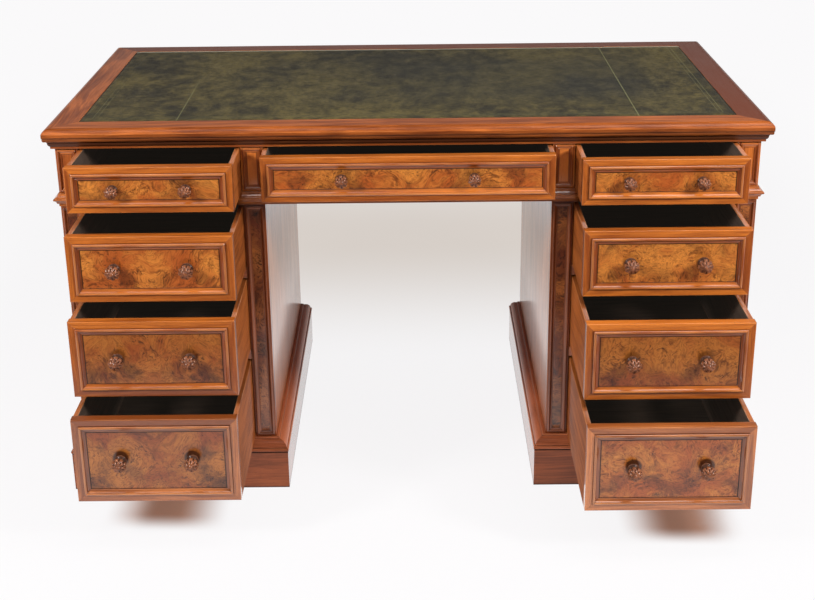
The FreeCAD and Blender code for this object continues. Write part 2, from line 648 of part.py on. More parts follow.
PLINTH_BOARD_PROFILE = [
    ("0", "0"),
    ("plinth_projection", "0"),
    ("plinth_projection", "plinth_height"),
    ("0", "plinth_height"),
]
slope_foot = "plinth_bead_height + plinth_quirk_height"
PLINTH_MOULDING_PROFILE = [
    ("plinth_projection + plinth_bead_overhang", "0"),
    ("plinth_projection + plinth_bead_overhang", "plinth_moulding_height"),
    ("plinth_quirk + plinth_slope_width", "plinth_moulding_height"),
    ("plinth_quirk + plinth_slope_width", "%s + plinth_slope_height" % slope_foot),
    ("plinth_quirk", slope_foot, "plinth_slope_radius", -1),
    ("plinth_quirk", "plinth_bead_height"),
    ("plinth_bead_step", "plinth_bead_height"),
    ("plinth_bead_step", "0", "plinth_bead_radius", -1),
]
plinth = mitred_frame("plinth_board", PLINTH_BOARD_PROFILE,
                      ("-pedestal_width / 2 - plinth_projection", "pedestal_width / 2 + plinth_projection"),
                      ("-plinth_projection", "carcass_depth + plinth_projection"),
                      "plinth_projection", "plinth_height")
bead_reach = "plinth_projection + plinth_bead_overhang"
plinth += mitred_frame("plinth_moulding", PLINTH_MOULDING_PROFILE,
                       ("-pedestal_width / 2 - (%s)" % bead_reach, "pedestal_width / 2 + %s" % bead_reach),
                       ("-(%s)" % bead_reach, "carcass_depth + %s" % bead_reach),
                       bead_reach, "plinth_moulding_height", "plinth_height")

for side, centre in (("left", "-pedestal_centre"), ("right", "pedestal_centre")):
    node(side + "_pedestal_case", case, centre)
    node(side + "_pedestal_stiles", stiles, centre)
    node(side + "_pedestal_blades", blades, centre)
    node(side + "_pedestal_runners", runners, centre)
    node(side + "_stile_panels", stile_panels, centre)
    node(side + "_plinth", plinth, centre)

# Knobs: turned, with the rim carved into petals, along Z from the panel's face


def turned_knob(name, share):
    """A knob whose every length is a share of the full size."""
    def at(radius, height):
        return ("(%s) * %s" % (radius, share), "(%s) * %s" % (height, share))

    body = doc.addObject("PartDesign::Body", name)
    section = sketch_on(body, "XZ_Plane", name + "_section")
    rim_base = "knob_head_base + knob_flare_height"
    rim_top = rim_base + " + knob_rim_height"
    dome_top = rim_top + " + knob_dome_height"
    add_outline(section, [
        ("0", "-knob_spigot_length * %s" % share),
        at("knob_spigot_radius", "-knob_spigot_length"),
        ("knob_spigot_radius * %s" % share, "0"),
        ("knob_base_radius * %s" % share, "0"),
        at("knob_base_radius", "knob_base_height"),
        at("knob_shoulder_radius", "knob_base_height + knob_shoulder_height"),
        at("knob_neck_radius", "knob_base_height + knob_shoulder_height"),
        at("knob_neck_radius", "knob_head_base"),
        at("knob_head_radius", rim_base),
        at("knob_head_radius", rim_top),
        at("knob_button_radius", dome_top),
        at("knob_button_radius", dome_top + " + knob_button_height"),
        ("0", "(%s + knob_button_height) * %s" % (dome_top, share)),
    ])
    turning = body.newObject("PartDesign::Revolution", name + "_turning")
    turning.Profile = section
    turning.ReferenceAxis = (section, ["V_Axis"])
    scallop = sketch_on(body, "XY_Plane", name + "_scallop", "knob_head_base * %s" % share)
    add_circle(scallop, "knob_scallop_ring * %s" % share, "0", "knob_scallop_radius * %s" % share)
    scallop_cut = pocket(body, scallop, "knob_reach - knob_head_base", reverse=True)
    petals = body.newObject("PartDesign::PolarPattern", name + "_petals")
    petals.Originals = [scallop_cut]
    petals.Axis = (scallop, ["N_Axis"])
    bind(petals, {"Occurrences": "knob_petals"})
    body.Tip = petals
    return body


large_knob = turned_knob("large_knob", "1")
small_knob = turned_knob("small_knob", "knob_small_share")

# Drawers: a front with its mitred moulding, a burr panel, a box and two knobs

FRONT_PROFILE = [
    ("0", "0"),
    ("0", "field_depth + front_bead_shoulder"),
    ("front_bead_width", "field_depth + front_bead_rise", "front_bead_radius", 1),
    ("front_bead_width", "field_depth + front_bead_rise - front_quirk"),
    ("front_moulding_width - front_sight_lip",
     "field_depth + front_bead_rise - front_quirk - front_cove_drop", "front_cove_radius", -1),
    ("front_moulding_width", "field_depth + front_bead_rise - front_quirk - front_cove_drop"),
    ("front_moulding_width", "0"),
]
box_low = "(running_gap - drawer_gap)"
groove_span = (box_low + " + box_bottom_rise", box_low + " + box_bottom_rise + box_bottom_thickness")


def drawer_front(name, half, height, border, hole, hole_depth, knob_places):
    """The front board with its sunk field, knob holes and groove, and the moulding."""
    field_x = ("%s - %s" % (border, half), "%s - %s" % (half, border))
    field_y = (border, "%s - %s" % (height, border))
    front = doc.addObject("PartDesign::Body", name + "_front_board")
    blank = sketch_on(front, "XY_Plane", name + "_blank")
    add_rectangle(blank, ("-" + half, half), ("0", height))
    pad(front, blank, "front_thickness", reverse=True)
    field = sketch_on(front, "XY_Plane", name + "_field")
    add_rectangle(field, field_x, field_y)
    pocket(front, field, "field_depth")
    holes = sketch_on(front, "XY_Plane", name + "_holes")
    for place in knob_places:
        add_circle(holes, place, "%s / 2" % height, hole)
    pocket(front, holes, hole_depth)
    groove = sketch_on(front, "XY_Plane", name + "_groove", "-front_thickness")
    reach = "(%s - box_side_thickness + box_groove_depth)" % half
    add_rectangle(groove, ("-" + reach, reach), groove_span)
    pocket(front, groove, "box_groove_depth", reverse=True)
    moulding = mitred_frame(name + "_moulding", FRONT_PROFILE, field_x, field_y,
                            "front_moulding_width", "field_depth + front_bead_rise + front_bead_width",
                            "-field_depth")
    return [front] + moulding


def drawer_burr(name, half, height, border, hole, knob_places):
    """The burr walnut panel inside the moulding."""
    margin = "(%s + front_moulding_width)" % border
    burr = doc.addObject("PartDesign::Body", name + "_burr")
    plan = sketch_on(burr, "XY_Plane", name + "_burr_plan", "-field_depth")
    add_rectangle(plan, ("%s - %s" % (margin, half), "%s - %s" % (half, margin)),
                  (margin, "%s - %s" % (height, margin)))
    for place in knob_places:
        add_circle(plan, place, "%s / 2" % height, hole)
    pad(burr, plan, "burr_thickness")
    return [burr]


def drawer_box(name, half, height):
    """Two grooved sides, a bottom let into them and into the front, and a back."""
    inner = "(%s - box_side_thickness)" % half
    reach = "(%s + box_groove_depth)" % inner
    side_top = "%s - box_top_drop" % height
    lengthways = ("front_thickness", "drawer_length")
    pieces = []
    for side, wall, slot in (("left", ("-" + half, "-" + inner), ("-" + reach, "-" + inner)),
                             ("right", (inner, half), (inner, reach))):
        grooved = doc.addObject("Part::Cut", "%s_%s_side" % (name, side))
        grooved.Base = board("%s_%s_blank" % (name, side), wall, lengthways, (box_low, side_top))
        grooved.Tool = board("%s_%s_slot" % (name, side), slot, lengthways, groove_span)
        pieces.append(grooved)
    pieces.append(board(name + "_bottom", ("-" + reach, reach),
                        ("front_thickness - box_groove_depth", "drawer_length"), groove_span))
    pieces.append(board(name + "_back", ("-" + inner, inner),
                        ("drawer_length - box_back_thickness", "drawer_length"),
                        (groove_span[1], "%s - box_back_drop" % side_top)))
    return pieces


def drawer_pieces(name, opening, border, knob, share, spacing_share):
    """The pieces of one kind of drawer, about the bottom middle of its front face."""
    half = "((%s) / 2 - drawer_gap)" % opening[0]
    height = "(%s - 2 * drawer_gap)" % opening[1]
    hole = "knob_spigot_radius * %s + spigot_clearance" % share
    hole_depth = "panel_sink + knob_spigot_length * %s + spigot_clearance" % share
    knob_places = ["%s%s * %s / 2" % (side, opening[0], spacing_share) for side in ("-", "")]
    knobs = [move(copy_of(knob, name + "_knob"), place, "%s / 2" % height, "-panel_sink")
             for place in knob_places]
    return {
        "front": drawer_front(name, half, height, border, hole, hole_depth, knob_places),
        "burr_panel": drawer_burr(name, half, height, border, hole, knob_places),
        "box": drawer_box(name, half, height),
        "knobs": knobs,
    }


def place_drawer(name, pieces, x, level, pull):
    """Sets one drawer in its opening, pulled out as it stands."""
    for piece_name, solids in pieces.items():
        node("%s_drawer_%s" % (name, piece_name), solids, x, "front_plane - " + pull,
             level + " + drawer_gap", upright=piece_name != "box")


centre_drawer = drawer_pieces("centre", ("kneehole_width", "frieze_opening_height"), "front_border_frieze",
                              small_knob, "knob_small_share", "knob_spacing_share_centre")
place_drawer("centre", centre_drawer, "0", "frieze_level", "pull_centre")
for kind in ("frieze", "upper", "middle", "lower"):
    knob, share, border = (large_knob, "1", "front_border_pedestal")
    if kind == "frieze":
        knob, share, border = (small_knob, "knob_small_share", "front_border_frieze")
    pieces = drawer_pieces(kind, ("opening_width", kind + "_opening_height"), border,
                           knob, share, "knob_spacing_share_side")
    for side, centre in (("left", "-pedestal_centre"), ("right", "pedestal_centre")):
        place_drawer("%s_%s" % (side, kind), pieces, centre, kind + "_level", "pull_%s_%s" % (side, kind))

doc.recompute()

# Checks, then one file for each node

for piece in doc.Objects:
    if "Invalid" in piece.State or "Error" in piece.State:
        raise RuntimeError("%s did not build" % piece.Label)
os.makedirs("parts", exist_ok=True)
for group in NODES:
    shape = group.Shape
    if shape.isNull() or not shape.isValid() or not shape.Solids:
        raise RuntimeError("%s has no valid solid" % group.Label)
    shape.exportStep(os.path.join("parts", group.Label + ".step"))
print(len(NODES), "nodes,", sum(len(group.Shape.Solids) for group in NODES), "solids")
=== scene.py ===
import math
import random

import bmesh
import bpy
from mathutils import Matrix, Vector


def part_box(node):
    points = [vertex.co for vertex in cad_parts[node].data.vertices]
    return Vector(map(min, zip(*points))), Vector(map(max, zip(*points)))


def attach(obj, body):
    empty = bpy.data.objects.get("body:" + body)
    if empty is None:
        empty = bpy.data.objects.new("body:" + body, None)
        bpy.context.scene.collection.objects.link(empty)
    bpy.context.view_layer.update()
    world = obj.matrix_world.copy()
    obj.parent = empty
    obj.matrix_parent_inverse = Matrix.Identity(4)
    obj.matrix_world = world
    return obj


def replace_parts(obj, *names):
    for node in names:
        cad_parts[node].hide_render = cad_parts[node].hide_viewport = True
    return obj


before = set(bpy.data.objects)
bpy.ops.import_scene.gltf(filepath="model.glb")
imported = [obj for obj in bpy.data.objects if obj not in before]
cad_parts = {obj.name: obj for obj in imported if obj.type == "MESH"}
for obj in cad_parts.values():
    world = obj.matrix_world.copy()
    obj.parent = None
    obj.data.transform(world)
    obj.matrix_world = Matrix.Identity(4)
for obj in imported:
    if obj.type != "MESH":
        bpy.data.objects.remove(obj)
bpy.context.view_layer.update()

# Pedestal cases
# Two walnut boards stand as the sides of each pedestal, grain upright, with a thinner
# back let in between them. All arrises are softened by hand before polishing.

MM = 0.001
X_AXIS, Y_AXIS, Z_AXIS = (Vector(axis) for axis in ((1, 0, 0), (0, 1, 0), (0, 0, 1)))


class Value:
    """A number on its way through a finish; sums made with it add maths nodes."""

    def __init__(self, finish, socket):
        self.finish, self.socket = finish, socket

    def maths(self, operation, *others):
        return self.finish.maths(operation, self, *others)

    def __add__(self, other):
        return self.maths("ADD", other)

    def __sub__(self, other):
        return self.maths("SUBTRACT", other)

    def __mul__(self, other):
        return self.maths("MULTIPLY", other)

    def __rsub__(self, other):
        return self.finish.maths("SUBTRACT", other, self)

    def __abs__(self):
        return self.maths("ABSOLUTE")

    __radd__, __rmul__ = __add__, __mul__

    def between(self, low, high):
        """0 below low, 1 above high, with a smooth passage."""
        return self.finish.node("ShaderNodeMapRange", {"interpolation_type": "SMOOTHSTEP"},
                                {"Value": self, "From Min": low, "From Max": high})


class Finish:
    """A surface finish, or the light of the studio, that is built up node by node."""

    def __init__(self, name, owners=bpy.data.materials):
        self.owner = owners.new(name)
        self.owner.use_nodes = True
        self.tree = self.owner.node_tree
        self.tree.nodes.clear()

    def node(self, kind, settings=None, sockets=None, output=0):
        """Adds a node: its settings first, then a value or a link for each socket."""
        made = self.tree.nodes.new(kind)
        for setting, choice in (settings or {}).items():
            setattr(made, setting, choice)
        for socket, given in (sockets or {}).items():
            if isinstance(given, Value):
                self.tree.links.new(given.socket, made.inputs[socket])
            else:
                made.inputs[socket].default_value = given
        return Value(self, made.outputs[output])

    def maths(self, operation, *values):
        return self.node("ShaderNodeMath", {"operation": operation}, dict(enumerate(values)))

    def vectors(self, operation, first, second):
        return self.node("ShaderNodeVectorMath", {"operation": operation}, {0: first, 1: second})

    def carried(self, name, output="Fac"):
        """What the mesh carries under a name."""
        return self.node("ShaderNodeAttribute", {"attribute_name": name}, output=output)

    def noise(self, place, scale, detail=3, roughness=0.5, twist=0, output="Fac"):
        """Cloudy noise whose scale may differ along the three axes of the place."""
        stretched = self.vectors("MULTIPLY", place, scale)
        return self.node("ShaderNodeTexNoise", {}, {"Vector": stretched, "Scale": 1, "Detail": detail,
                                                    "Roughness": roughness, "Distortion": twist}, output)

    def mix(self, share, first, second, blend="MIX"):
        """Mixes two colours."""
        return self.node("ShaderNodeMix", {"data_type": "RGBA", "blend_type": blend},
                         {0: share, 6: first, 7: second}, 2)

    def warp(self, place, scale, reach, detail=2):
        """Moves a place about by cloudy noise, up to about half the reach."""
        cloud = self.noise(place, (scale,) * 3, detail, output="Color")
        drift = self.vectors("SUBTRACT", cloud, (0.5,) * 3)
        return self.vectors("ADD", place, self.vectors("MULTIPLY", drift, (reach,) * 3))

    def relief(self, height, depth, strength=1):
        """A fine relief of the surface, depth in metres."""
        return self.node("ShaderNodeBump", {}, {"Height": height, "Distance": depth, "Strength": strength})

    def surface(self, sockets):
        """Closes the finish with its surface and gives the material."""
        return self.close(self.node("ShaderNodeBsdfPrincipled", {}, sockets))

    def close(self, shader, kind="ShaderNodeOutputMaterial"):
        made = self.tree.nodes.new(kind)
        self.tree.links.new(shader.socket, made.inputs["Surface"])
        return self.owner


def paint(code):
    """A colour from its six hexadecimal digits."""
    levels = [int(code[at:at + 2], 16) / 255 for at in (0, 2, 4)]
    return (*[v / 12.92 if v <= 0.04045 else ((v + 0.055) / 1.055) ** 2.4 for v in levels], 1)


def walnut(name, light, dark, shine=0.6, roughness=0.3, polish_index=1.58, painted_glow=0):
    """Polished walnut: long grain, darker streaks, open pores, arrises painted pale for rubbed wear and as a
    painted highlight, quirks painted dark for dirt and as painted shade. A painted glow, as a share of
    white, lifts a face in deep shade."""
    finish = Finish(name)
    place = finish.carried("wood_place", "Vector")
    tone = finish.carried("board_tone")
    wear_and_shading = finish.carried("wear_and_shading")
    bent = finish.warp(place, 3, 0.03)
    figure = finish.noise(bent, (1.6, 22, 22), 3, 0.5, 0.4)
    rings = (figure * 38).maths("SINE") * 0.5 + 0.5
    fibres = finish.noise(bent, (9, 330, 330), 3, 0.6)
    cloud = finish.noise(bent, (6, 17, 17), 3)
    pores = finish.noise(place, (110, 1500, 1500), 1).between(0.6, 0.72)
    depth = rings * 0.2 + fibres * 0.8 + cloud * 0.62 + tone * 0.09 - 0.325
    colour = finish.mix(depth.between(0.05, 0.95), paint(light), paint(dark))
    colour = finish.mix(pores * 0.35, colour, paint(dark), "MULTIPLY")
    # Arrises painted paler: rubbed wear, and on rounded beads a painted highlight.
    paling = wear_and_shading.between(0.25, 1) * finish.noise(place, (14, 60, 60), 2).between(0.3, 0.6)
    colour = finish.mix(paling * 0.4, colour, paint("D68C50"))
    # Quirks and hollows painted dark, with less polish: dirt, and painted shade where shade falls.
    dirt_and_shade = (wear_and_shading * -1).between(0.1, 1)
    colour = finish.mix(dirt_and_shade * 0.85, colour, paint("170A05"))
    relief = finish.relief(fibres * 0.6 - pores, 0.00012, 0.5)
    return finish.surface({"Base Color": colour, "Normal": relief, "Specular IOR Level": 0.2,
                           "Roughness": fibres * 0.14 + cloud * 0.1 + dirt_and_shade * 0.3 + (roughness - 0.1),
                           "Coat Weight": (shine - pores * 0.3) * (1 - dirt_and_shade * 0.85), "Coat Roughness": 0.16,
                           "Coat IOR": polish_index, "Emission Color": paint("FFEAD4"),
                           "Emission Strength": painted_glow})


def outlined(corners, softening=0.5):
    """A closed section in millimetres, as (across, rise, wear and shading) points in metres. A corner is
    (across, rise) and is eased by the softening; an eased corner is painted pale where convex and dark where
    hollow.
    A third number keeps it sharp, with that wear and shading. (across, rise, radius, side), and a wear and
    shading where it has one, is the end of an arc that bulges to the left (1) or right (-1). Above 0 is
    rubbed pale and painted highlight, below 0 dark dirt and painted shade."""
    fewest_steps, step_angle, gentlest_corner = 4, math.radians(11), math.radians(24)
    spots, kept = [], {}
    for at, corner in enumerate(corners):
        last = Vector(corner[:2])
        if len(corner) == 3:
            kept[len(spots)] = corner[2]
        if len(corner) > 3:
            first, (radius, side) = Vector(corners[at - 1][:2]), corner[2:4]
            arc_wear_and_shading = corner[4] if len(corner) > 4 else 0
            chord = last - first
            left = Vector((-chord.y, chord.x)).normalized()
            middle = (first + last) / 2 - left * side * math.sqrt(radius ** 2 - chord.length_squared / 4)
            sweep = 2 * math.asin(chord.length / 2 / radius)
            steps = max(fewest_steps, round(sweep / step_angle))
            for step in range(1, steps):
                kept[len(spots)] = arc_wear_and_shading
                spots.append(middle + Matrix.Rotation(-side * sweep * step / steps, 2) @ (first - middle))
        spots.append(last)
    turning = sum(spots[at - 1].x * spot.y - spots[at - 1].y * spot.x for at, spot in enumerate(spots))
    points = []
    for at, spot in enumerate(spots):
        if at in kept:
            points.append((*spot, kept[at]))
            continue
        back, forth = spots[at - 1] - spot, spots[(at + 1) % len(spots)] - spot
        bend = (-back).angle_signed(forth) * -math.copysign(1, turning)
        if abs(bend) < gentlest_corner:
            points.append((*spot, 0))
            continue
        side = math.copysign(1, bend)
        reach = min(softening, back.length * 0.4, forth.length * 0.4)
        ends = [spot + way.normalized() * reach for way in (back, forth)]
        calm = [spot + way.normalized() * min(reach * 3, way.length * 0.48) for way in (back, forth)]
        middle = spot / 2 + (ends[0] + ends[1]) / 4
        points += [(*calm[0], 0), (*ends[0], side * 0.7), (*middle, side),
                   (*ends[1], side * 0.7), (*calm[1], 0)]
    return [(across * MM, rise * MM, wear_and_shading) for across, rise, wear_and_shading in points]


class Piece:
    """Boards and lengths of moulding that are gathered as one piece of the desk."""

    def __init__(self, name):
        self.name, self.chance = name, random.Random(name)
        self.points, self.faces, self.smooth = [], [], []
        self.places, self.tones, self.wear_and_shading_levels = [], [], []

    def rows(self, outline, axes, origin, stations, painted_shading=0):
        """Carries an outline along the grain through stations, each a slope across, a place along the grain,
        an inset and a wear and shading. Each board differs a little in tone at random, and is painted darker
        by its painted shading, lighter below 0."""
        along, across, rise = axes
        begin, count = len(self.points), len(outline)
        furthest = 4
        shift = Vector([self.chance.uniform(-furthest, furthest) for axis in axes])
        tone = self.chance.uniform(-1, 1) + painted_shading
        lows = [min(point[axis] for point in outline) for axis in (0, 1)]
        highs = [max(point[axis] for point in outline) for axis in (0, 1)]
        for slope, start, inset, end_wear_and_shading in stations:
            for point in outline:
                u, v = (min(max(point[axis], lows[axis] + inset), highs[axis] - inset) for axis in (0, 1))
                t = start + slope * u
                self.points.append(origin + along * t + across * u + rise * v)
                self.places.append(Vector((t, u, v)) + shift)
                self.tones.append(tone)
                self.wear_and_shading_levels.append(end_wear_and_shading or point[2])
        for row in range(len(stations) - 1):
            for at in range(count):
                a, b = begin + row * count + at, begin + row * count + (at + 1) % count
                self.faces.append((a, b, b + count, a + count))
                self.smooth.append(True)
        last = begin + (len(stations) - 1) * count
        self.faces += [tuple(range(begin, begin + count)), tuple(range(last, last + count))]
        self.smooth += [False, False]

    def length(self, outline, axes, origin, start, stop, painted_shading):
        """One length of moulding with mitred ends and a thin dark glue line at each."""
        glue, dirt_and_shade = 0.7 * MM, -0.6
        self.rows(outline, axes, origin, [(1, start, 0, dirt_and_shade), (1, start + glue, 0, 0),
                                          (-1, stop - glue, 0, 0), (-1, stop, 0, dirt_and_shade)], painted_shading)

    def ring(self, outline, axes, across, up, level=0, painted_shading=(0, 0, 0, 0)):
        """Four mitred lengths round a rectangle, near, far, left and right, the outline's
        first axis pointing inwards."""
        right, far, out = axes
        base = out * level
        self.length(outline, (right, far, out), base + far * up[0], *across, painted_shading[0])
        self.length(outline, (right, -far, out), base + far * up[1], *across, painted_shading[1])
        self.length(outline, (far, right, out), base + right * across[0], *up, painted_shading[2])
        self.length(outline, (far, -right, out), base + right * across[1], *up, painted_shading[3])

    def board(self, low, high, grain, softening=0.6, painted_shading=0):
        """A plain board between two corners, in metres, grain along axis 0, 1 or 2."""
        order = (grain, (grain + 1) % 3, (grain + 2) % 3)
        axes = [(X_AXIS, Y_AXIS, Z_AXIS)[axis] for axis in order]
        wide, thick = ((low[axis] / MM, high[axis] / MM) for axis in order[1:])
        outline = outlined([(wide[0], thick[0]), (wide[1], thick[0]), (wide[1], thick[1]),
                            (wide[0], thick[1])], softening)
        start, stop, ease = low[grain], high[grain], softening * MM
        inset, paling = ease * 0.6, 0.8
        self.rows(outline, axes, Vector(), [(0, start, inset, paling), (0, start + ease, 0, 0),
                                            (0, stop - ease, 0, 0), (0, stop, inset, paling)], painted_shading)

    def polished(self, material, body, slot, *nodes):
        """Makes the mesh and sets it in the desk in place of its solids."""
        mesh = bpy.data.meshes.new(self.name)
        mesh.from_pydata(self.points, [], self.faces)
        mesh.polygons.foreach_set("use_smooth", self.smooth)
        carried = (("wood_place", "FLOAT_VECTOR", "vector", [v for place in self.places for v in place]),
                   ("board_tone", "FLOAT", "value", self.tones), ("wear_and_shading", "FLOAT", "value", self.wear_and_shading_levels))
        for name, kind, field, values in carried:
            mesh.attributes.new(name, kind, "POINT").data.foreach_set(field, values)
        shell = bmesh.new()
        shell.from_mesh(mesh)
        bmesh.ops.recalc_face_normals(shell, faces=shell.faces)
        shell.to_mesh(mesh)
        shell.free()
        mesh.materials.append(material)
        piece = bpy.data.objects.new(self.name, mesh)
        bpy.context.scene.collection.objects.link(piece)
        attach(piece, body)
        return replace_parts(piece, *nodes)


case_walnut = walnut("case_walnut", "CC7A38", "8C481A", 0.76, 0.3)
side_thickness = 20 * MM
back_thickness = 12 * MM
stile_width = 42.5 * MM
SIDES = ("left", "right")
for side in SIDES:
    low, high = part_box(side + "_pedestal_case")
    case = Piece(side + "_pedestal_sides_and_back")
    case.board(low, (low.x + side_thickness, high.y, high.z), 2)
    case.board((high.x - side_thickness, low.y, low.z), high, 2)
    case.board((low.x + side_thickness, high.y - back_thickness, low.z),
               (high.x - side_thickness, high.y, high.z), 2)
    case.polished(case_walnut, "carcass", "walnut", side + "_pedestal_case")

# Inside of the carcass
# Runners, guides, stops, dowels, the board under the leather and the floor of the frieze
# are plain brown hardwood, planed and left without polish. The solids are kept as they are.

inner_wood = Finish("planed_inner_wood")
inner_place = inner_wood.node("ShaderNodeTexCoord", output="Object")
inner_bent = inner_wood.warp(inner_place, 4, 0.05)
inner_grain = inner_wood.noise(inner_bent, (130, 9, 130), 4, 0.6)
inner_cloud = inner_wood.noise(inner_place, (7, 3, 7), 2)
inner_colour = inner_wood.mix((inner_grain * 0.7 + inner_cloud * 0.4).between(0.3, 0.8),
                              paint("6E4526"), paint("3A2213"))
inner_relief = inner_wood.relief(inner_grain, 0.0003, 0.6)
inner_material = inner_wood.surface({"Base Color": inner_colour, "Normal": inner_relief,
                                     "Roughness": inner_grain * 0.2 + 0.6})
inner_nodes = ["frieze_floor", "frieze_guides", "locating_dowels", "top_core_board"]
inner_nodes += [side + "_pedestal_runners" for side in SIDES]
for name in inner_nodes:
    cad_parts[name].data.materials.clear()
    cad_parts[name].data.materials.append(inner_material)

# Pedestal fronts
# Two stiles frame each pedestal; between them run the rails over, between and under the
# drawers. The rails are walnut in front, and boards of brown inner wood join them behind.

# A darker copy of the walnut for the stiles and rails: painted shade for their place deep between the open
# drawers.
stile_walnut = walnut("stile_walnut", "A0522A", "5A2812", 0.7)
blade_thickness, blade_depth = 20.5 * MM, 60 * MM
dust_panel_top, dust_panel_bottom = 7.25 * MM, 13.25 * MM
top_rail_thickness, bottom_rail_top = 11.5 * MM, 107 * MM
front_thickness = 22 * MM
runner_width = 45 * MM
play = 0.3 * MM
for side in SIDES:
    low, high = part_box(side + "_pedestal_stiles")
    stiles = Piece(side + "_pedestal_front_stiles")
    stiles.board(low, (low.x + stile_width, high.y, high.z), 2)
    stiles.board((high.x - stile_width, low.y, low.z), high, 2)
    stiles.polished(stile_walnut, "carcass", "walnut", side + "_pedestal_stiles")

    low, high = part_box(side + "_pedestal_blades")
    face = low.y
    opening = (low.x + stile_width - side_thickness, high.x - stile_width + side_thickness)
    floors = [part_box("%s_%s_drawer_box" % (side, name))[0].z - play for name in ("middle", "upper")]
    rails = Piece(side + "_pedestal_rails")
    boards = Piece(side + "_pedestal_boards")
    for top, bottom in ((high.z, high.z - top_rail_thickness), (bottom_rail_top, low.z)):
        rails.board((opening[0], face, bottom), (opening[1], face + front_thickness, top), 0)
        boards.board((low.x, face + front_thickness, bottom), (high.x, high.y, top), 1)
    for top in floors:
        rails.board((opening[0], face, top - blade_thickness), (opening[1], face + blade_depth, top), 0)
        boards.board((low.x + runner_width, face + blade_depth, top - dust_panel_bottom),
                     (high.x - runner_width, high.y, top - dust_panel_top), 1, 0.3)
    rails.polished(stile_walnut, "carcass", "walnut", side + "_pedestal_blades")
    boards.polished(inner_material, "carcass", "carcass_lining", side + "_pedestal_blades")

# Stile panels
# A small bead and hollow runs as a mitred frame round each stile, and a strip of dark
# burr walnut fills the frame. The posts of the frieze carry the same little frame.


def burr(name, gold, orange, brown, shadow):
    """Burr walnut veneer: curled gold wood with fine brown curls, dark clouds and small eyes."""
    finish = Finish(name)
    leaf = finish.carried("wood_place", "Vector")
    spot = finish.node("ShaderNodeTexCoord", output="Object")
    wear_and_shading = finish.carried("wear_and_shading")
    row_shade = finish.carried("board_tone").between(1, 3)
    uneven = finish.vectors("SUBTRACT", finish.noise(spot, (7,) * 3, 2, output="Color"), (0.5,) * 3)
    place = finish.vectors("ADD", leaf, finish.vectors("MULTIPLY", uneven, (0.09,) * 3))
    bent = finish.warp(place, 12, 0.075)
    curled = finish.warp(finish.warp(bent, 36, 0.03, 3), 120, 0.007)
    ground = finish.noise(curled, (13,) * 3, 4, 0.62).between(0.36, 0.66)
    sweep = (finish.noise(curled, (17,) * 3, 3, 0.5) * 70).maths("SINE").between(0.1, 0.95)
    curls = (finish.noise(curled, (60,) * 3, 2, 0.5) * 30).maths("SINE").between(0, 0.95)
    fibres = finish.noise(curled, (240,) * 3, 3, 0.7)
    rich = finish.noise(bent, (21,) * 3, 3, 0.6).between(0.4, 0.64)
    cloud = finish.noise(bent, (11,) * 3, 4, 0.65).between(0.5, 0.7)
    eyes = finish.node("ShaderNodeTexVoronoi", {}, {"Vector": curled, "Scale": 120}).between(0.08, 0.3)
    cluster = finish.noise(place, (26,) * 3, 1).between(0.54, 0.62)
    colour = finish.mix(ground, paint(gold), paint(orange))
    colour = finish.mix(fibres.between(0.42, 0.72) * 0.55, colour, paint(brown))
    broken = finish.noise(bent, (90,) * 3, 2, 0.6).between(0.4, 0.6)
    colour = finish.mix(sweep * broken * (0.18 + rich * 0.5), colour, paint(brown))
    colour = finish.mix(curls * broken * (1 - row_shade * 0.5) * (0.18 + rich * 0.6), colour, paint(brown))
    flecks = finish.noise(curled, (190, 190, 420), 2, 0.6).between(0.56, 0.68)
    colour = finish.mix(flecks * (0.3 + rich * 0.4), colour, paint(shadow))
    colour = finish.mix(cloud * (0.22 + fibres * 0.62), colour, paint(shadow))
    colour = finish.mix((1 - eyes) * cluster * 0.7, colour, paint(shadow))
    # The burr of the middle and lower drawers is painted darker and greyer, with softer curls: painted shade
    # and sheen.
    colour = finish.mix(row_shade * (0.5 + cloud * 0.3), colour, paint("8C7260"), "MULTIPLY")
    # A painted dark halo round each knob's foot, centred a little above it: the shade and dark reflection
    # the knob throws on the panel, strongest on the lower drawers.
    beside = finish.carried("from_knob", "Vector")
    apart = finish.node("ShaderNodeVectorMath", {"operation": "LENGTH"}, {0: beside}, 1)
    foot_radius, ring_radius, halo_radius = 12 * MM, 17.5 * MM, 34 * MM
    knob_shade = ((1 - apart.between(foot_radius + 0.5 * MM, ring_radius)) * 0.8
             + (1 - apart.between(foot_radius, halo_radius)) * 0.2)
    colour = finish.mix(knob_shade * finish.carried("knob_shade") * 0.9, colour, paint("2C0F06"))
    # Darker where the wear and shading is below 0, along the panel's edges.
    colour = finish.mix((wear_and_shading * -1).between(0.1, 0.9) * 0.9, colour, paint("170A05"))
    relief = finish.relief(fibres, 0.00008, 0.4)
    return finish.surface({"Base Color": colour, "Normal": relief, "Specular IOR Level": 0.2,
                           "Roughness": fibres * 0.12 + 0.24, "Coat Weight": 0.95 - sweep * 0.08,
                           "Coat Roughness": 0.14, "Coat IOR": 1.58})


# The stiles' frames get a darker copy of the moulding walnut: painted shade.
shaded_stile_moulding = walnut("stile_moulding_walnut", "96502C", "54260F", 0.9, 0.26)
stile_burr = burr("stile_burr_walnut", "A8622F", "6A3018", "30160B", "120B08")
UPRIGHT_FRONT = (X_AXIS, Z_AXIS, -Y_AXIS)
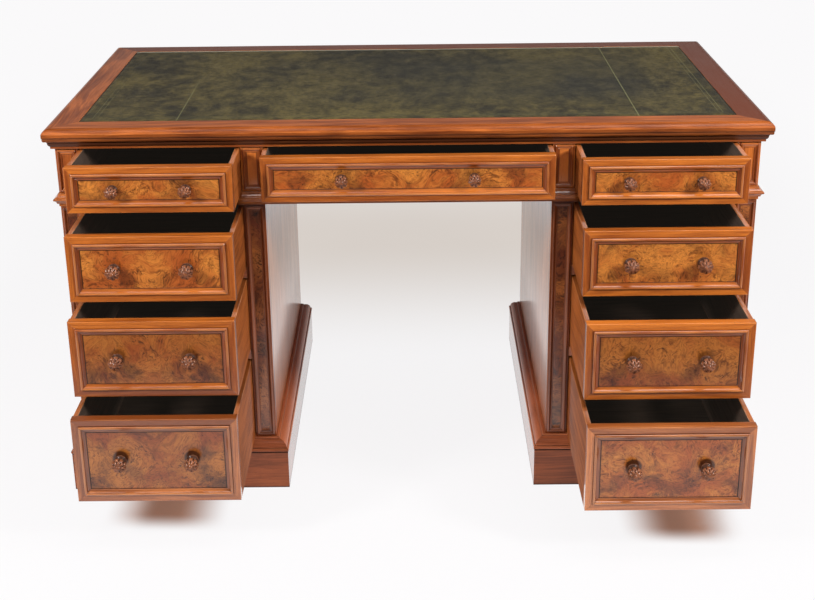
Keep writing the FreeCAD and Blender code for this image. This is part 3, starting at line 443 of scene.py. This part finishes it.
# The small frame is painted dark at its outer foot, beside the bead and at its inner edge: dirt and painted
# shade.
POST_SECTION = outlined([(0, 0, -1), (0, 1.2, 0), (0, 2), (3.8, 3.2, 2.6, 1), (3.8, 2.4, -0.8),
                         (8.2, 1, 4.6, -1), (9, 1, -0.8), (9, 0)], 0.3)
post_border, frame_sink, frame_width = 3.5 * MM, 3.6 * MM, 9 * MM
strip_thickness = 1 * MM
for side in SIDES:
    low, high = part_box(side + "_stile_panels")
    frames = Piece(side + "_stile_frames")
    strips = Piece(side + "_stile_burr_strips")
    width = stile_width - 2 * post_border
    base = low.y + frame_sink
    for left in (low.x, high.x - width):
        frames.ring(POST_SECTION, UPRIGHT_FRONT, (left, left + width), (low.z, high.z), -base)
        strips.board((left + frame_width, base - strip_thickness, low.z + frame_width),
                     (left + width - frame_width, base, high.z - frame_width), 2, 0.2)
    frames.polished(shaded_stile_moulding, "carcass", "walnut", side + "_stile_panels")
    strips.polished(stile_burr, "carcass", "burr_walnut", side + "_stile_panels")

# Plinths
# Four boards are mitred round the foot of each pedestal, and a moulding with a bead
# and a round slope above it sits on their upper edge.

LAID_FLAT = (X_AXIS, Y_AXIS, Z_AXIS)
# The board is painted dark just under the bead, a painted shadow, and faintly dark at its foot, a painted
# contact shadow.
PLINTH_SECTION = outlined([(0, 0, -1), (24, 0, -1), (24, 82), (0, 82, -1), (0, 80.3, -0.95),
                          (0, 78, 0), (0, 8, 0), (0, 3, -0.4)], 0.8)
# On the moulding the bead is painted pale, a painted highlight, with painted shade in the quirks beside it.
PLINTH_MOULDING = outlined([(25.5, 0), (25.5, 25), (19.5, 25), (19.5, 22, -0.6), (3.5, 9.2, 17, -1),
                            (3.5, 7, -1), (2, 7), (2, 0, 4.1, -1, 0.4)], 0.4)
plinth_height = 82 * MM
bead_overhang = 1.5 * MM
plinth_walnut = walnut("plinth_walnut", "AC582A", "682F10", 1, 0.3, 1.32)
plinth_moulding = walnut("plinth_moulding_walnut", "C06C44", "74381C", 0.12, 0.34)
for side in SIDES:
    low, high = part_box(side + "_plinth")
    plinth = Piece(side + "_plinth_boards")
    plinth.ring(PLINTH_SECTION, LAID_FLAT, (low.x + bead_overhang, high.x - bead_overhang),
                (low.y + bead_overhang, high.y - bead_overhang))
    plinth.polished(plinth_walnut, "carcass", "walnut", side + "_plinth")
    moulding = Piece(side + "_plinth_moulding")
    # The moulding's side lengths are painted lighter and its front length a little darker: painted light and
    # shade.
    moulding.ring(PLINTH_MOULDING, LAID_FLAT, (low.x, high.x), (low.y, high.y), plinth_height,
                  (0.5, 0, -4, -4))
    moulding.polished(plinth_moulding, "carcass", "walnut", side + "_plinth")

# Frieze
# A shallow box over both pedestals: ends and back, a rail above and below the three
# drawers, and four short posts, each with the same small frame as the stiles.

frieze_walnut = walnut("frieze_walnut", "DA7C32", "90461A", 0.7)
low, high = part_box("frieze_ends_and_back")
ends = Piece("frieze_ends_and_long_back")
ends.board(low, (low.x + side_thickness, high.y, high.z), 1)
ends.board((high.x - side_thickness, low.y, low.z), high, 1)
ends.board((low.x + side_thickness, high.y - back_thickness, low.z),
           (high.x - side_thickness, high.y, high.z), 0)
ends.polished(frieze_walnut, "carcass", "walnut", "frieze_ends_and_back")

low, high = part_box("frieze_rails")
post_low, post_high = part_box("frieze_posts")
rails = Piece("frieze_front_rails")
# Both rails are painted darker: painted shade under the top and between the open drawers.
rails.board((low.x, low.y, post_high.z), high, 0, painted_shading=3)
rails.board(low, (high.x, high.y, post_low.z), 0, painted_shading=3)
rails.polished(frieze_walnut, "carcass", "walnut", "frieze_rails")

frame_low, frame_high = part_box("frieze_post_mouldings")
inner_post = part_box("right_pedestal_stiles")[0].x
posts = Piece("frieze_short_posts")
post_frames = Piece("frieze_post_frames")
# Each post is painted darker by the number beside it, lighter where it is below 0, and the bottom and sides
# of its frame darker: painted shade and light between the open drawers.
for left, painted_shading in ((post_low.x, 3), (-inner_post - stile_width, -3), (inner_post, -7),
                     (post_high.x - stile_width, 2)):
    right = left + stile_width
    posts.board((left, post_low.y, post_low.z), (right, post_high.y, post_high.z), 2, painted_shading=painted_shading)
    post_frames.ring(POST_SECTION, UPRIGHT_FRONT, (left + post_border, right - post_border),
                     (frame_low.z, frame_high.z), -post_low.y, (2, 0, 4, 4))
posts.polished(frieze_walnut, "carcass", "walnut", "frieze_posts")
moulding_walnut = walnut("moulding_walnut", "C87234", "84401A", 0.9, 0.26)
post_frames.polished(moulding_walnut, "carcass", "walnut", "frieze_post_mouldings")

# Waist moulding and moulding under the top
# Both are planted round the frieze in mitred lengths: the waist has a nose between two
# hollows and hides the joint with the pedestals, the upper one is a plain round.

WAIST_SECTION = outlined([(11, 0), (11, 26), (8.8, 26), (8.8, 24.8), (0.8, 16.5, 12, 1),
                          (0.8, 12.5, 2.9, -1), (5.8, 6, 7, 1), (9, 6), (9, 0)], 0.35)
# The moulding under the top is painted dark on its top edge and round, and its front length darker still:
# painted shade under the top's overhang.
UNDER_SECTION = outlined([(12, 0), (12, 15.5), (0, 15.5, -1), (0, 13, -0.8), (1.2, 13, -0.9),
                          (5.2, 4.5, 8, -1, -0.78), (5.2, 0)], 0.4)
low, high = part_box("waist_moulding")
waist = Piece("waist_moulding_lengths")
waist.ring(WAIST_SECTION, LAID_FLAT, (low.x, high.x), (low.y, high.y), low.z)
waist.polished(moulding_walnut, "carcass", "walnut", "waist_moulding")
low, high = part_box("under_top_moulding")
under = Piece("under_top_lengths")
under.ring(UNDER_SECTION, LAID_FLAT, (low.x, high.x), (low.y, high.y), low.z, (4, 0, 0, 0))
under.polished(moulding_walnut, "carcass", "walnut", "under_top_moulding")

# Top
# Four wide walnut borders are mitred round a core board. Their edge is worked with a
# sloping thumb, an upright band and a bead below it.

# A dark line where the flat meets the thumb, and the thumb, band and bead below painted darker lower down:
# painted shade under the overhang.
BORDER_SECTION = outlined([(60, 0), (60, 24.5), (26, 24.5, 0), (13, 24.5, -0.3), (12.4, 24.5, -0.5),
                           (11.6, 24.5), (0, 15, 15, -1, -0.38), (0, 14, -0.35), (0, 10, -0.5),
                           (0, 7.5, -0.8), (0, 7, -0.9), (1.5, 7, -0.9), (2.8, 0, 6, -1, -0.6)], 0.5)
low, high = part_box("top_border")
border = Piece("top_border_lengths")
# The back and right lengths of the border are painted darker: painted shade.
border.ring(BORDER_SECTION, LAID_FLAT, (low.x, high.x), (low.y, high.y), low.z, (0.3, 8, 0.8, 9))
top_walnut = walnut("top_walnut", "D0702E", "6E2F0E", 0.14, 0.32)
border.polished(top_walnut, "carcass", "walnut", "top_border")

# Writing leather
# One hide, dyed green and rubbed darker in the middle, is glued flush into the border.
# Tooled lines run near its edges and across it at both ends, and its back edge is worn pale.

low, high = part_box("writing_leather")
middle = (low + high) / 2
half_x, half_y = (high.x - low.x) / 2, (high.y - low.y) / 2
columns, rows = 180, 92
leather_mesh = bpy.data.meshes.new("writing_leather_hide")
touching, rim_sink = 0.1 * MM, 0.7 * MM
spots, faces = [], []
for row in range(rows + 1):
    for column in range(columns + 1):
        x = low.x + (high.x - low.x) * column / columns
        y = low.y + (high.y - low.y) * row / rows
        edge = min(half_x - abs(x - middle.x), half_y - abs(y - middle.y))
        sink = rim_sink if edge < touching else 0
        spots.append((x, y, high.z - sink))
for row in range(rows):
    for column in range(columns):
        corner = row * (columns + 1) + column
        faces.append((corner, corner + 1, corner + columns + 2, corner + columns + 1))
rim = list(range(columns + 1))
rim += [(row + 1) * (columns + 1) - 1 for row in range(1, rows + 1)]
rim += [rows * (columns + 1) + column for column in range(columns - 1, -1, -1)]
rim += [row * (columns + 1) for row in range(rows - 1, 0, -1)]
under_first = len(spots)
spots += [(spots[at][0], spots[at][1], low.z) for at in rim]
for at in range(len(rim)):
    after = (at + 1) % len(rim)
    faces.append((rim[after], rim[at], under_first + at, under_first + after))
faces.append(tuple(reversed(range(under_first, len(spots)))))
leather_mesh.from_pydata(spots, [], faces)
smooth = [len(face.vertices) == 4 and face.normal.z > 0.1 for face in leather_mesh.polygons]
leather_mesh.polygons.foreach_set("use_smooth", smooth)
leather = bpy.data.objects.new("writing_leather_hide", leather_mesh)
bpy.context.scene.collection.objects.link(leather)

hide = Finish("green_leather")
spot = hide.node("ShaderNodeTexCoord", output="Object")
bent = hide.warp(spot, 3, 0.12)
wide = hide.noise(bent, (5, 4, 1), 3, 0.5, 0.4)
creases = hide.noise(bent, (90, 120, 1), 5, 0.65)
mottle = hide.noise(bent, (30, 20, 1), 5, 0.7)
pebbles = hide.node("ShaderNodeTexVoronoi", {}, {"Vector": spot, "Scale": 900})
along = hide.node("ShaderNodeSeparateXYZ", {}, {"Vector": spot}, "X") - middle.x
across = hide.node("ShaderNodeSeparateXYZ", {}, {"Vector": spot}, "Y") - middle.y
from_edge = (half_x - abs(along)).maths("MINIMUM", half_y - abs(across))


def tooled(distance, at, width):
    """A thin line where a distance passes a value."""
    return 1 - abs(distance - at).between(width * 0.4, width)


tooling = paint("8C8A5C")
middle_zone = from_edge.between(0.02, 0.22) * along.between(-0.55, 0.2)
depth = (wide * 1.1 + mottle * 1.3 - 0.7).between(0.15, 0.85)
colour = hide.mix(depth, paint("6A5D33"), paint("2E2A20"))
colour = hide.mix(middle_zone * 0.5, colour, paint("36352D"))
colour = hide.mix(creases.between(0.42, 0.66) * 0.6, colour, paint("22211B"))
paling = (along.between(0.1, 0.3) + (1 - across.between(-0.2, 0.1)) * 0.7).maths("MINIMUM", 1)
cross_lines_at, outer_line_at, inner_line_at = 443 * MM, 22 * MM, 30 * MM
lines = tooled(abs(along), cross_lines_at, 1.6 * MM) * (paling * 0.8 + 0.1)
inner_line = tooled(from_edge, inner_line_at, 1.2 * MM)
frame_lines = tooled(from_edge, outer_line_at, 1.5 * MM).maths("MAXIMUM", inner_line)
colour = hide.mix(lines * 0.6, colour, tooling)
colour = hide.mix(frame_lines * paling * (0.12 + mottle * 0.3), colour, tooling)
colour = hide.mix((1 - from_edge.between(1.5 * MM, 5 * MM)) * 0.8, colour, paint("14140E"))
worn_edge = (across - half_y + 14 * MM).between(0, 4 * MM)
colour = hide.mix(worn_edge * 0.85, colour, paint("B8B29E"))
height = creases * 0.6 + mottle * 0.5 - pebbles * 0.25 - lines * 0.8 - frame_lines * 0.8
green_leather = hide.surface({"Base Color": colour, "Normal": hide.relief(height, 0.001, 0.6),
                              "Roughness": mottle * 0.3 + 0.36, "Specular IOR Level": 0.26})
leather_mesh.materials.append(green_leather)
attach(leather, "carcass")
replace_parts(leather, "writing_leather")

# Drawer fronts
# A mitred walnut border with a planted moulding frames a panel of burr walnut whose two
# leaves are opened like a book, so that their figure mirrors about the middle.

# On the moulding the bead is painted pale and the hollow faintly so, a painted highlight; its foot and
# quirks are painted dark, dirt and painted shade.
FRONT_MOULDING = outlined([(0, 0), (0, 5, -1), (0, 6.6, 0), (0, 7.5), (5, 8.5, 3.2, 1, 0.9), (5, 7.5, -0.9),
                           (11, 3.5, 6.5, -1, 0.2), (12, 3.5, -0.8), (12, 0)], 0.35)
front_walnut = walnut("front_walnut", "D0752A", "863E14", 0.95, 0.28)
# A paler, greyer copy of the front walnut for the lower drawers, a painted sheen, with a stronger polish
# besides.
low_front_walnut = walnut("low_front_walnut", "CC7A40", "80401A", 1, 0.28, 1.72)
front_burr = burr("front_burr_walnut", "D28236", "AE5621", "64300F", "26150D")
# Painted shade and light: how much darker the lower, upper, left and right length of each border is painted,
# lighter below 0.
border_tones = {"centre": (1.5, 0, 1.8, 1.8), "left_middle": (3, 0, 1.8, 1.8),
                "left_lower": (2, 8, 3, 2), "right_frieze": (0, -0.5, 3.4, 2),
                "right_upper": (-1.5, -1, 3, 2), "right_middle": (2, -2, 2, 1.8),
                "right_lower": (-2, 2.2, -2, -1)}
# The moulding's lengths are painted darker too, most at the sides: painted shade.
plain_tones, moulding_tones = (0, 0, 1.8, 1.8), (0.8, 3.2, 5.5, 5.5)
KINDS = ("frieze", "upper", "middle", "lower")
DRAWERS = ["centre"] + ["%s_%s" % (side, kind) for side in SIDES for kind in KINDS]
board_mm, narrow_border_mm, wide_border_mm, quirk_mm = 20, 12, 13.5, 1.2
field_depth = 5 * MM
dark_edge_line, dark_edge_fade = 1 * MM, 2.2 * MM
knob_radius, knob_shade_rise = 13 * MM, 5 * MM
for name in DRAWERS:
    low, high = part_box(name + "_drawer_front")
    border_mm = narrow_border_mm if name == "centre" or name.endswith("frieze") else wide_border_mm
    face, back = high.y - board_mm * MM, high.y
    # The border is painted dark along its inner edge beside the moulding: painted shade.
    section = outlined([(0, -board_mm), (border_mm, -board_mm), (border_mm, 0, -0.7),
                        (border_mm - quirk_mm, 0, 0), (0, 0)], 0.7)
    border_width = border_mm * MM
    inner = ((low.x + border_width, high.x - border_width), (low.z + border_width, high.z - border_width))
    front = Piece(name + "_front")
    front.ring(section, UPRIGHT_FRONT, (low.x, high.x), (low.z, high.z), -face,
               border_tones.get(name, plain_tones))
    front.board((inner[0][0], face + field_depth, inner[1][0]), (inner[0][1], back, inner[1][1]), 0)
    front.ring(FRONT_MOULDING, UPRIGHT_FRONT, *inner, -(face + field_depth), moulding_tones)
    finish = low_front_walnut if name.endswith("lower") else front_walnut
    front.polished(finish, name + "_drawer", "walnut", name + "_drawer_front")

    low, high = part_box(name + "_drawer_burr_panel")
    panel = Piece(name + "_burr_leaves")
    centre = (low.x + high.x) / 2
    bottom, top, behind, proud = low.z / MM, high.z / MM, -high.y / MM, -low.y / MM
    # The panel is darker towards its edges.
    leaf = outlined([(bottom, behind), (top, behind), (top, proud, -1), (top - 1, proud, -0.8),
                     (top - 2.2, proud, 0), (bottom + 1.6, proud, 0), (bottom, proud, -1)], 0.2)
    low_down = name.endswith(("middle", "lower"))
    # How much darker the burr of the middle and lower rows is painted: painted shade.
    row_shade = 2.2 if name == "right_lower" else 4 if low_down else 0
    panel.rows(leaf, UPRIGHT_FRONT, Vector(),
               [(0, low.x, 0, -1), (0, low.x + dark_edge_line, 0, -0.8), (0, low.x + dark_edge_fade, 0, 0),
                (0, centre, 0, 0), (0, high.x - dark_edge_fade, 0, 0), (0, high.x - dark_edge_line, 0, -0.8),
                (0, high.x, 0, -1)], row_shade)
    offset = panel.places[0].x - panel.points[0].x
    panel.places = [Vector((offset + abs(point.x - centre), place.y, place.z))
                    for point, place in zip(panel.points, panel.places)]
    made = panel.polished(front_burr, name + "_drawer", "burr_walnut", name + "_drawer_burr_panel")
    knob_low, knob_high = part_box(name + "_drawer_knobs")
    reach = (knob_high.x - knob_low.x) / 2 - knob_radius
    height = (knob_low.z + knob_high.z) / 2 + knob_shade_rise
    beside = [(abs(point.x - centre) - reach, point.z - height, 0) for point in panel.points]
    made.data.attributes.new("from_knob", "FLOAT_VECTOR", "POINT").data.foreach_set(
        "vector", [v for place in beside for v in place])
    # How strong the painted shade round the knobs is on each row.
    strength = 1 if name.endswith("lower") else 0.6 if name.endswith("middle") else 0.3
    made.data.attributes.new("knob_shade", "FLOAT", "POINT").data.foreach_set("value", [strength] * len(beside))

# Drawer boxes
# Walnut sides hold a thin bottom in grooves, and the back stands on it between them.
# The insides are stained nearly black and given a faint painted glow in the shade.

side_walnut = walnut("drawer_side_walnut", "A45A28", "6A3413", 0.28, 0.34)
# The lining gets a faint painted glow, so that it is not quite black in the shade.
stained = walnut("stained_lining", "5C4A3E", "40332B", 0.1, 0.5, painted_glow=0.0068)
wall_mm, groove_mm, floor_low_mm, floor_high_mm, back_drop_mm = 9, 4, 8, 14, 6
wall, groove, floor_low, floor_high, back_drop = (
    size * MM for size in (wall_mm, groove_mm, floor_low_mm, floor_high_mm, back_drop_mm))
outside_groove_mm = wall_mm - groove_mm
back_ease, back_inset, top_edge_band = 0.5 * MM, 0.3 * MM, 10 * MM
for name in DRAWERS:
    low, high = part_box(name + "_drawer_box")
    box = Piece(name + "_drawer_sides_and_bottom")
    box_mm = (high.z - low.z) / MM
    section = outlined([(0, 0), (wall_mm, 0), (wall_mm, floor_low_mm), (outside_groove_mm, floor_low_mm),
                        (outside_groove_mm, floor_high_mm), (wall_mm, floor_high_mm),
                        (wall_mm, box_mm), (0, box_mm)], 0.8)
    for outer, inward in ((low.x, 1), (high.x, -1)):
        box.rows(section, (Y_AXIS, X_AXIS * inward, Z_AXIS), Vector((outer, 0, low.z)),
                 [(0, low.y + groove, 0, 0), (0, high.y - back_ease, 0, 0), (0, high.y, back_inset, 0)])
    box.board((low.x + wall - groove, low.y, low.z + floor_low),
              (high.x - wall + groove, high.y, low.z + floor_high), 0, 0.2)
    box.board((low.x + wall, high.y - wall, low.z + floor_high),
              (high.x - wall, high.y, high.z - back_drop), 0)
    made = box.polished(side_walnut, name + "_drawer", "drawer_lining", name + "_drawer_box")
    made.data.materials.append(stained)
    centre = (low + high) / 2
    for face in made.data.polygons:
        spot, way = face.center, face.normal
        between_sides = abs(spot.x - centre.x) < (high.x - low.x) / 2 - wall * 0.8
        inside = between_sides and spot.z > low.z + floor_low * 1.3
        edge_on_top = way.z > 0.99 and spot.z > high.z - top_edge_band
        face.material_index = int(inside and not edge_on_top)

# Knobs
# Each knob is turned with a round foot and a neck, and its head is carved into eight
# petals about a small button. They are stained dark and glued in with a spigot.

petal_count, flute_count, fullness, turns = 8, 6, 1.17, 144
groove_shape, vein_width = 1.3, 0.3
groove_cut, vein_cut, flute_cut, full_cut_within = 0.2, 0.05, 0.035, 3
groove_drop, vein_drop, drops_from = 1.6, 0.4, 20
# The carved grooves, the foot and the neck are painted dark: dirt, and painted shade where the head shades
# them.
groove_dirt_and_shade, vein_dirt_and_shade, flute_dirt_and_shade = 2.2, 0.9, 0.5
foot_to, foot_dirt_and_shade, neck_dirt_and_shade, button_wear = 3, -0.6, -0.85, 0.3
# Radius and distance from the panel, in millimetres.
knob_profile = [(0, 0), (9.8, 0), (10.1, 1.2), (9.8, 2.6), (8.9, 3.6), (7.5, 4.9), (6.4, 6.2), (5.9, 8.3),
                (6, 10.8), (7, 12.8), (9.2, 14.8), (11.1, 16.6), (12.2, 18.4), (12.6, 20.2), (12.6, 22),
                (12.3, 23.8), (11.5, 25.2), (10.2, 26), (9.6, 27.2), (8.6, 28.4), (7.2, 29.5), (5.6, 30.3),
                (4.3, 30.2), (4.2, 31.4), (3.7, 32.7), (2.3, 33.7), (0, 34)]
carved_from, carved_to, tier_line, thinnest_carved = 12.5, 30.25, 25.6, 4.5
knob_mesh = bpy.data.meshes.new("turned_and_carved_knob")
spots, faces, wear_and_shading_levels = [], [], []
for radius, reach in knob_profile:
    carved = carved_from < reach < carved_to and radius > thinnest_carved
    tier = 0 if reach < tier_line else 0.5
    cut = min((reach - carved_from) / full_cut_within, 1) if carved else 0
    plain_wear_and_shade = button_wear if reach > carved_to else foot_dirt_and_shade if reach < foot_to else neck_dirt_and_shade
    for turn in range(turns):
        angle = 2 * math.pi * turn / turns
        lobe = math.pi * (petal_count * turn / turns + tier)
        petal, vein = abs(math.cos(lobe)), max(0, 1 - abs(math.sin(lobe)) / vein_width)
        groove = (1 - petal) ** groove_shape
        flute = 0.5 - 0.5 * math.cos(flute_count * lobe)
        trimmed = radius * fullness * (1 - cut * (groove_cut * groove + vein_cut * vein + flute_cut * flute))
        drop = cut * (groove_drop * groove + vein_drop * vein) if reach > drops_from else 0
        across, up = trimmed * math.cos(angle), trimmed * math.sin(angle)
        spots.append((across * MM, (-reach + drop) * MM, up * MM))
        carved_wear_and_shade = 1 - groove_dirt_and_shade * groove - vein_dirt_and_shade * vein - flute_dirt_and_shade * flute
        wear_and_shading_levels.append(carved_wear_and_shade if carved else plain_wear_and_shade)
for row in range(1, len(knob_profile)):
    for turn in range(turns):
        a, b = (row - 1) * turns + turn, (row - 1) * turns + (turn + 1) % turns
        faces.append((a, b, b + turns, a + turns))
knob_mesh.from_pydata(spots, [], faces)
knob_mesh.attributes.new("wear_and_shading", "FLOAT", "POINT").data.foreach_set("value", wear_and_shading_levels)
knob_mesh.attributes.new("wood_place", "FLOAT_VECTOR", "POINT").data.foreach_set(
    "vector", [v for x, y, z in spots for v in (y, x, z)])
shell = bmesh.new()
shell.from_mesh(knob_mesh)
bmesh.ops.remove_doubles(shell, verts=shell.verts, dist=0.00001)
bmesh.ops.recalc_face_normals(shell, faces=shell.faces)
shell.to_mesh(knob_mesh)
shell.free()
knob_mesh.polygons.foreach_set("use_smooth", [True] * len(knob_mesh.polygons))
knob_pattern = bpy.data.objects.new("knob_pattern", knob_mesh)

fitting = bpy.data.node_groups.new("knobs_on_a_front", "GeometryNodeTree")
fitting.interface.new_socket("Geometry", in_out="OUTPUT", socket_type="NodeSocketGeometry")
fitting.interface.new_socket("Geometry", in_out="INPUT", socket_type="NodeSocketGeometry")
for title, kind in (("Knob", "Object"), ("Share", "Float"), ("Loosest Turn", "Float"),
                    ("Seed", "Int"), ("Stain", "Material")):
    fitting.interface.new_socket(title, in_out="INPUT", socket_type="NodeSocket" + kind)


def fit(kind, settings=None, **links):
    """Adds a node to the fitting of the knobs and links its sockets."""
    made = fitting.nodes.new(kind)
    for setting, choice in (settings or {}).items():
        setattr(made, setting, choice)
    for socket, source in links.items():
        target = made.inputs[socket.replace("_", " ")]
        if isinstance(source, bpy.types.NodeSocket):
            fitting.links.new(source, target)
        else:
            target.default_value = source
    return made


given = fit("NodeGroupInput").outputs
pattern = fit("GeometryNodeObjectInfo", Object=given["Knob"]).outputs["Geometry"]
spin = fit("FunctionNodeRandomValue", {"data_type": "FLOAT"})
fitting.links.new(given["Loosest Turn"], spin.inputs[3])
fitting.links.new(given["Seed"], spin.inputs["Seed"])
turned = fit("ShaderNodeCombineXYZ", Y=spin.outputs[1]).outputs[0]
placed = fit("GeometryNodeInstanceOnPoints", Points=given["Geometry"], Instance=pattern, Rotation=turned,
             Scale=given["Share"])
shade = fit("FunctionNodeRandomValue", {"data_type": "FLOAT"})
fitting.links.new(given["Seed"], shade.inputs["Seed"])
named = fit("GeometryNodeStoreNamedAttribute", {"data_type": "FLOAT", "domain": "INSTANCE"},
            Geometry=placed.outputs[0], Name="board_tone", Value=shade.outputs[1])
real = fit("GeometryNodeRealizeInstances", Geometry=named.outputs[0])
stained_knobs = fit("GeometryNodeSetMaterial", Geometry=real.outputs[0], Material=given["Stain"])
fitting.links.new(stained_knobs.outputs[0], fitting.nodes.new("NodeGroupOutput").inputs[0])

knob_stain = walnut("knob_stain", "9C5C38", "542814", 0.45, 0.38)
loosest_turn = 6.283
for seed, name in enumerate(DRAWERS):
    low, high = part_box(name + "_drawer_knobs")
    share = (high.z - low.z) / (2 * knob_radius)
    front_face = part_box(name + "_drawer_burr_panel")[0].y
    radius = knob_radius * share
    marks = bpy.data.meshes.new(name + "_knob_marks")
    marks.from_pydata([(x, front_face, (low.z + high.z) / 2)
                       for x in (low.x + radius, high.x - radius)], [], [])
    holder = bpy.data.objects.new(name + "_knob_marks", marks)
    bpy.context.scene.collection.objects.link(holder)
    modifier = holder.modifiers.new("knobs", "NODES")
    modifier.node_group = fitting
    inputs = {item.name: item.identifier for item in fitting.interface.items_tree if item.in_out == "INPUT"}
    for title, choice in (("Knob", knob_pattern), ("Share", share), ("Loosest Turn", loosest_turn),
                          ("Seed", seed), ("Stain", knob_stain)):
        modifier[inputs[title]] = choice
    ready = holder.evaluated_get(bpy.context.evaluated_depsgraph_get())
    knobs = bpy.data.objects.new(name + "_carved_knobs", bpy.data.meshes.new_from_object(ready))
    bpy.data.objects.remove(holder)
    bpy.context.scene.collection.objects.link(knobs)
    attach(knobs, name + "_drawer")
    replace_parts(knobs, name + "_drawer_knobs")

# Studio
# A sheet of white paper lies under the desk, with a painted brown shadow below the open lower drawers and
# a painted grey shadow behind the kneehole; in the kneehole it also glows a little, a painted light. Soft
# lamps stand in front to the left and right, with a weak one between and two above; the camera stands as in
# the photograph.

left_edge, right_edge, front_edge, back_edge = -14, 14, -12, 16
floor_mesh = bpy.data.meshes.new("paper_floor")
floor_mesh.from_pydata([(left_edge, front_edge, 0), (right_edge, front_edge, 0),
                        (right_edge, back_edge, 0), (left_edge, back_edge, 0)], [], [(0, 1, 2, 3)])
paper_floor = bpy.data.objects.new("paper_floor", floor_mesh)
bpy.context.scene.collection.objects.link(paper_floor)
paper = Finish("white_paper")
spot = paper.node("ShaderNodeTexCoord", output="Object")
depth = paper.node("ShaderNodeSeparateXYZ", {}, {"Vector": spot}, "Y")
across = paper.node("ShaderNodeSeparateXYZ", {}, {"Vector": spot}, "X")
fibre = paper.noise(spot, (60, 60, 60), 4)
path = [paper.node("ShaderNodeLightPath", output=kind)
        for kind in ("Is Camera Ray", "Is Glossy Ray", "Is Transmission Ray")]
lit = (depth.between(-1.35, -0.92) + path[0]).maths("MINIMUM", 1)
white = paper.mix(lit, paint("5A5654"), paint("F6F5F6"))
white = paper.mix(fibre * 0.03, white, paint("D8D5D2"))
seen = (path[0] + path[1] + path[2]).maths("MINIMUM", 1)
sideways = abs(across)
# A painted brown shadow under the open lower drawers, only where something stands over the paper.
shadow_middle, pedestal_middle, slant = 0.02, 0.51, 0.07
under_drawer = 1 - abs(abs(across - shadow_middle) - pedestal_middle).between(0.02, 0.13)
under_front = (depth + across * slant).between(-0.43, -0.36) * (1 - depth.between(0.45, 0.6))
open_sky = paper.node("ShaderNodeAmbientOcclusion", {"samples": 12}, {"Distance": 0.25}, 1)
painted_drawer_shadow = under_drawer * under_front * (1 - open_sky).between(0.27, 0.5)
# A painted grey shadow of the desk on the paper behind the kneehole.
behind = depth.between(0.4, 1.3) * (1 - depth.between(1.4, 2.6)) * (1 - sideways.between(0.4, 0.9))
far = depth.between(1.5, 4).maths("MAXIMUM", sideways.between(1, 1.6))
white = paper.mix(painted_drawer_shadow * 0.92, white, paint("A06E52"))
white = paper.mix(behind * 0.9, white, paint("D3CAC2"))
matt = paper.node("ShaderNodeBsdfDiffuse", {}, {"Color": white})
glow = paper.node("ShaderNodeEmission", {}, {"Color": white, "Strength": 1.06})
# In the kneehole the paper glows a little to light that is not seen directly: painted light.
kneehole_glow = (1 - sideways.between(0.26, 0.4)) * depth.between(-0.45, -0.2) * (1 - depth.between(0.9, 1.4))
share = seen * (0.92 + far * 0.06 - painted_drawer_shadow * 0.38) + (1 - seen) * kneehole_glow * 0.7
sheet = paper.node("ShaderNodeMixShader", {}, {0: share, 1: matt, 2: glow})
floor_mesh.materials.append(paper.close(sheet))

air = Finish("studio", bpy.data.worlds)
way = air.node("ShaderNodeTexCoord", output="Generated")
height = air.node("ShaderNodeSeparateXYZ", {}, {"Vector": way}, "Z")
away = air.node("ShaderNodeSeparateXYZ", {}, {"Vector": way}, "Y")
low_wall = (1 - height.between(0.19, 0.24)) * away.between(0, 0.4)
glow = air.mix(low_wall, paint("555453"), paint("C8C7C6"))
glow = air.mix(air.node("ShaderNodeLightPath", output="Is Camera Ray"), glow, paint("FAFAFA"))
backdrop = air.node("ShaderNodeBackground", {}, {"Color": glow})
bpy.context.scene.world = air.close(backdrop, "ShaderNodeOutputWorld")


def lamp(name, place, target, size, watts):
    """A soft rectangular lamp that points at a target."""
    data = bpy.data.lights.new(name, "AREA")
    data.shape, data.size, data.size_y, data.energy = "RECTANGLE", size[0], size[1], watts
    made = bpy.data.objects.new(name, data)
    made.location = place
    made.rotation_euler = (Vector(target) - Vector(place)).to_track_quat("-Z", "Y").to_euler()
    bpy.context.scene.collection.objects.link(made)


lamp("left_lamp", (-1.8, -1.5, 1.62), (-0.4, 0, 0.45), (0.42, 0.42), 44)
lamp("right_lamp", (1.8, -1.5, 1.62), (0.4, 0, 0.45), (0.42, 0.42), 46)
lamp("overhead_left_lamp", (-0.6, -0.75, 2.5), (-0.4, -0.1, 0.5), (1, 0.8), 10)
lamp("overhead_right_lamp", (0.85, -0.75, 2.5), (0.4, -0.1, 0.5), (1, 0.8), 17)
lamp("front_lamp", (0, -3.1, 1.75), (0, 0, 0.4), (1.2, 0.6), 3)

lens, sensor, furthest_seen = 63.40, 36, 60
camera_place = (0.00777, -2.8369, 1.45562)
pitch, yaw, roll = (math.radians(angle) for angle in (21.73, -0.254, -0.672))
ahead = Vector((math.sin(yaw) * math.cos(pitch), math.cos(yaw) * math.cos(pitch), -math.sin(pitch)))
level = Vector((math.cos(yaw), -math.sin(yaw), 0))
upward = level.cross(ahead)
right = level * math.cos(roll) + upward * math.sin(roll)
above = upward * math.cos(roll) - level * math.sin(roll)
camera_data = bpy.data.cameras.new("camera")
camera_data.lens, camera_data.sensor_width = lens, sensor
camera_data.clip_end = furthest_seen
camera = bpy.data.objects.new("camera", camera_data)
camera.matrix_world = (Matrix.Translation(camera_place)
                       @ Matrix((right, above, -ahead)).transposed().to_4x4())
bpy.context.scene.collection.objects.link(camera)
bpy.context.scene.camera = camera
bpy.context.scene.view_settings.view_transform = "Standard"
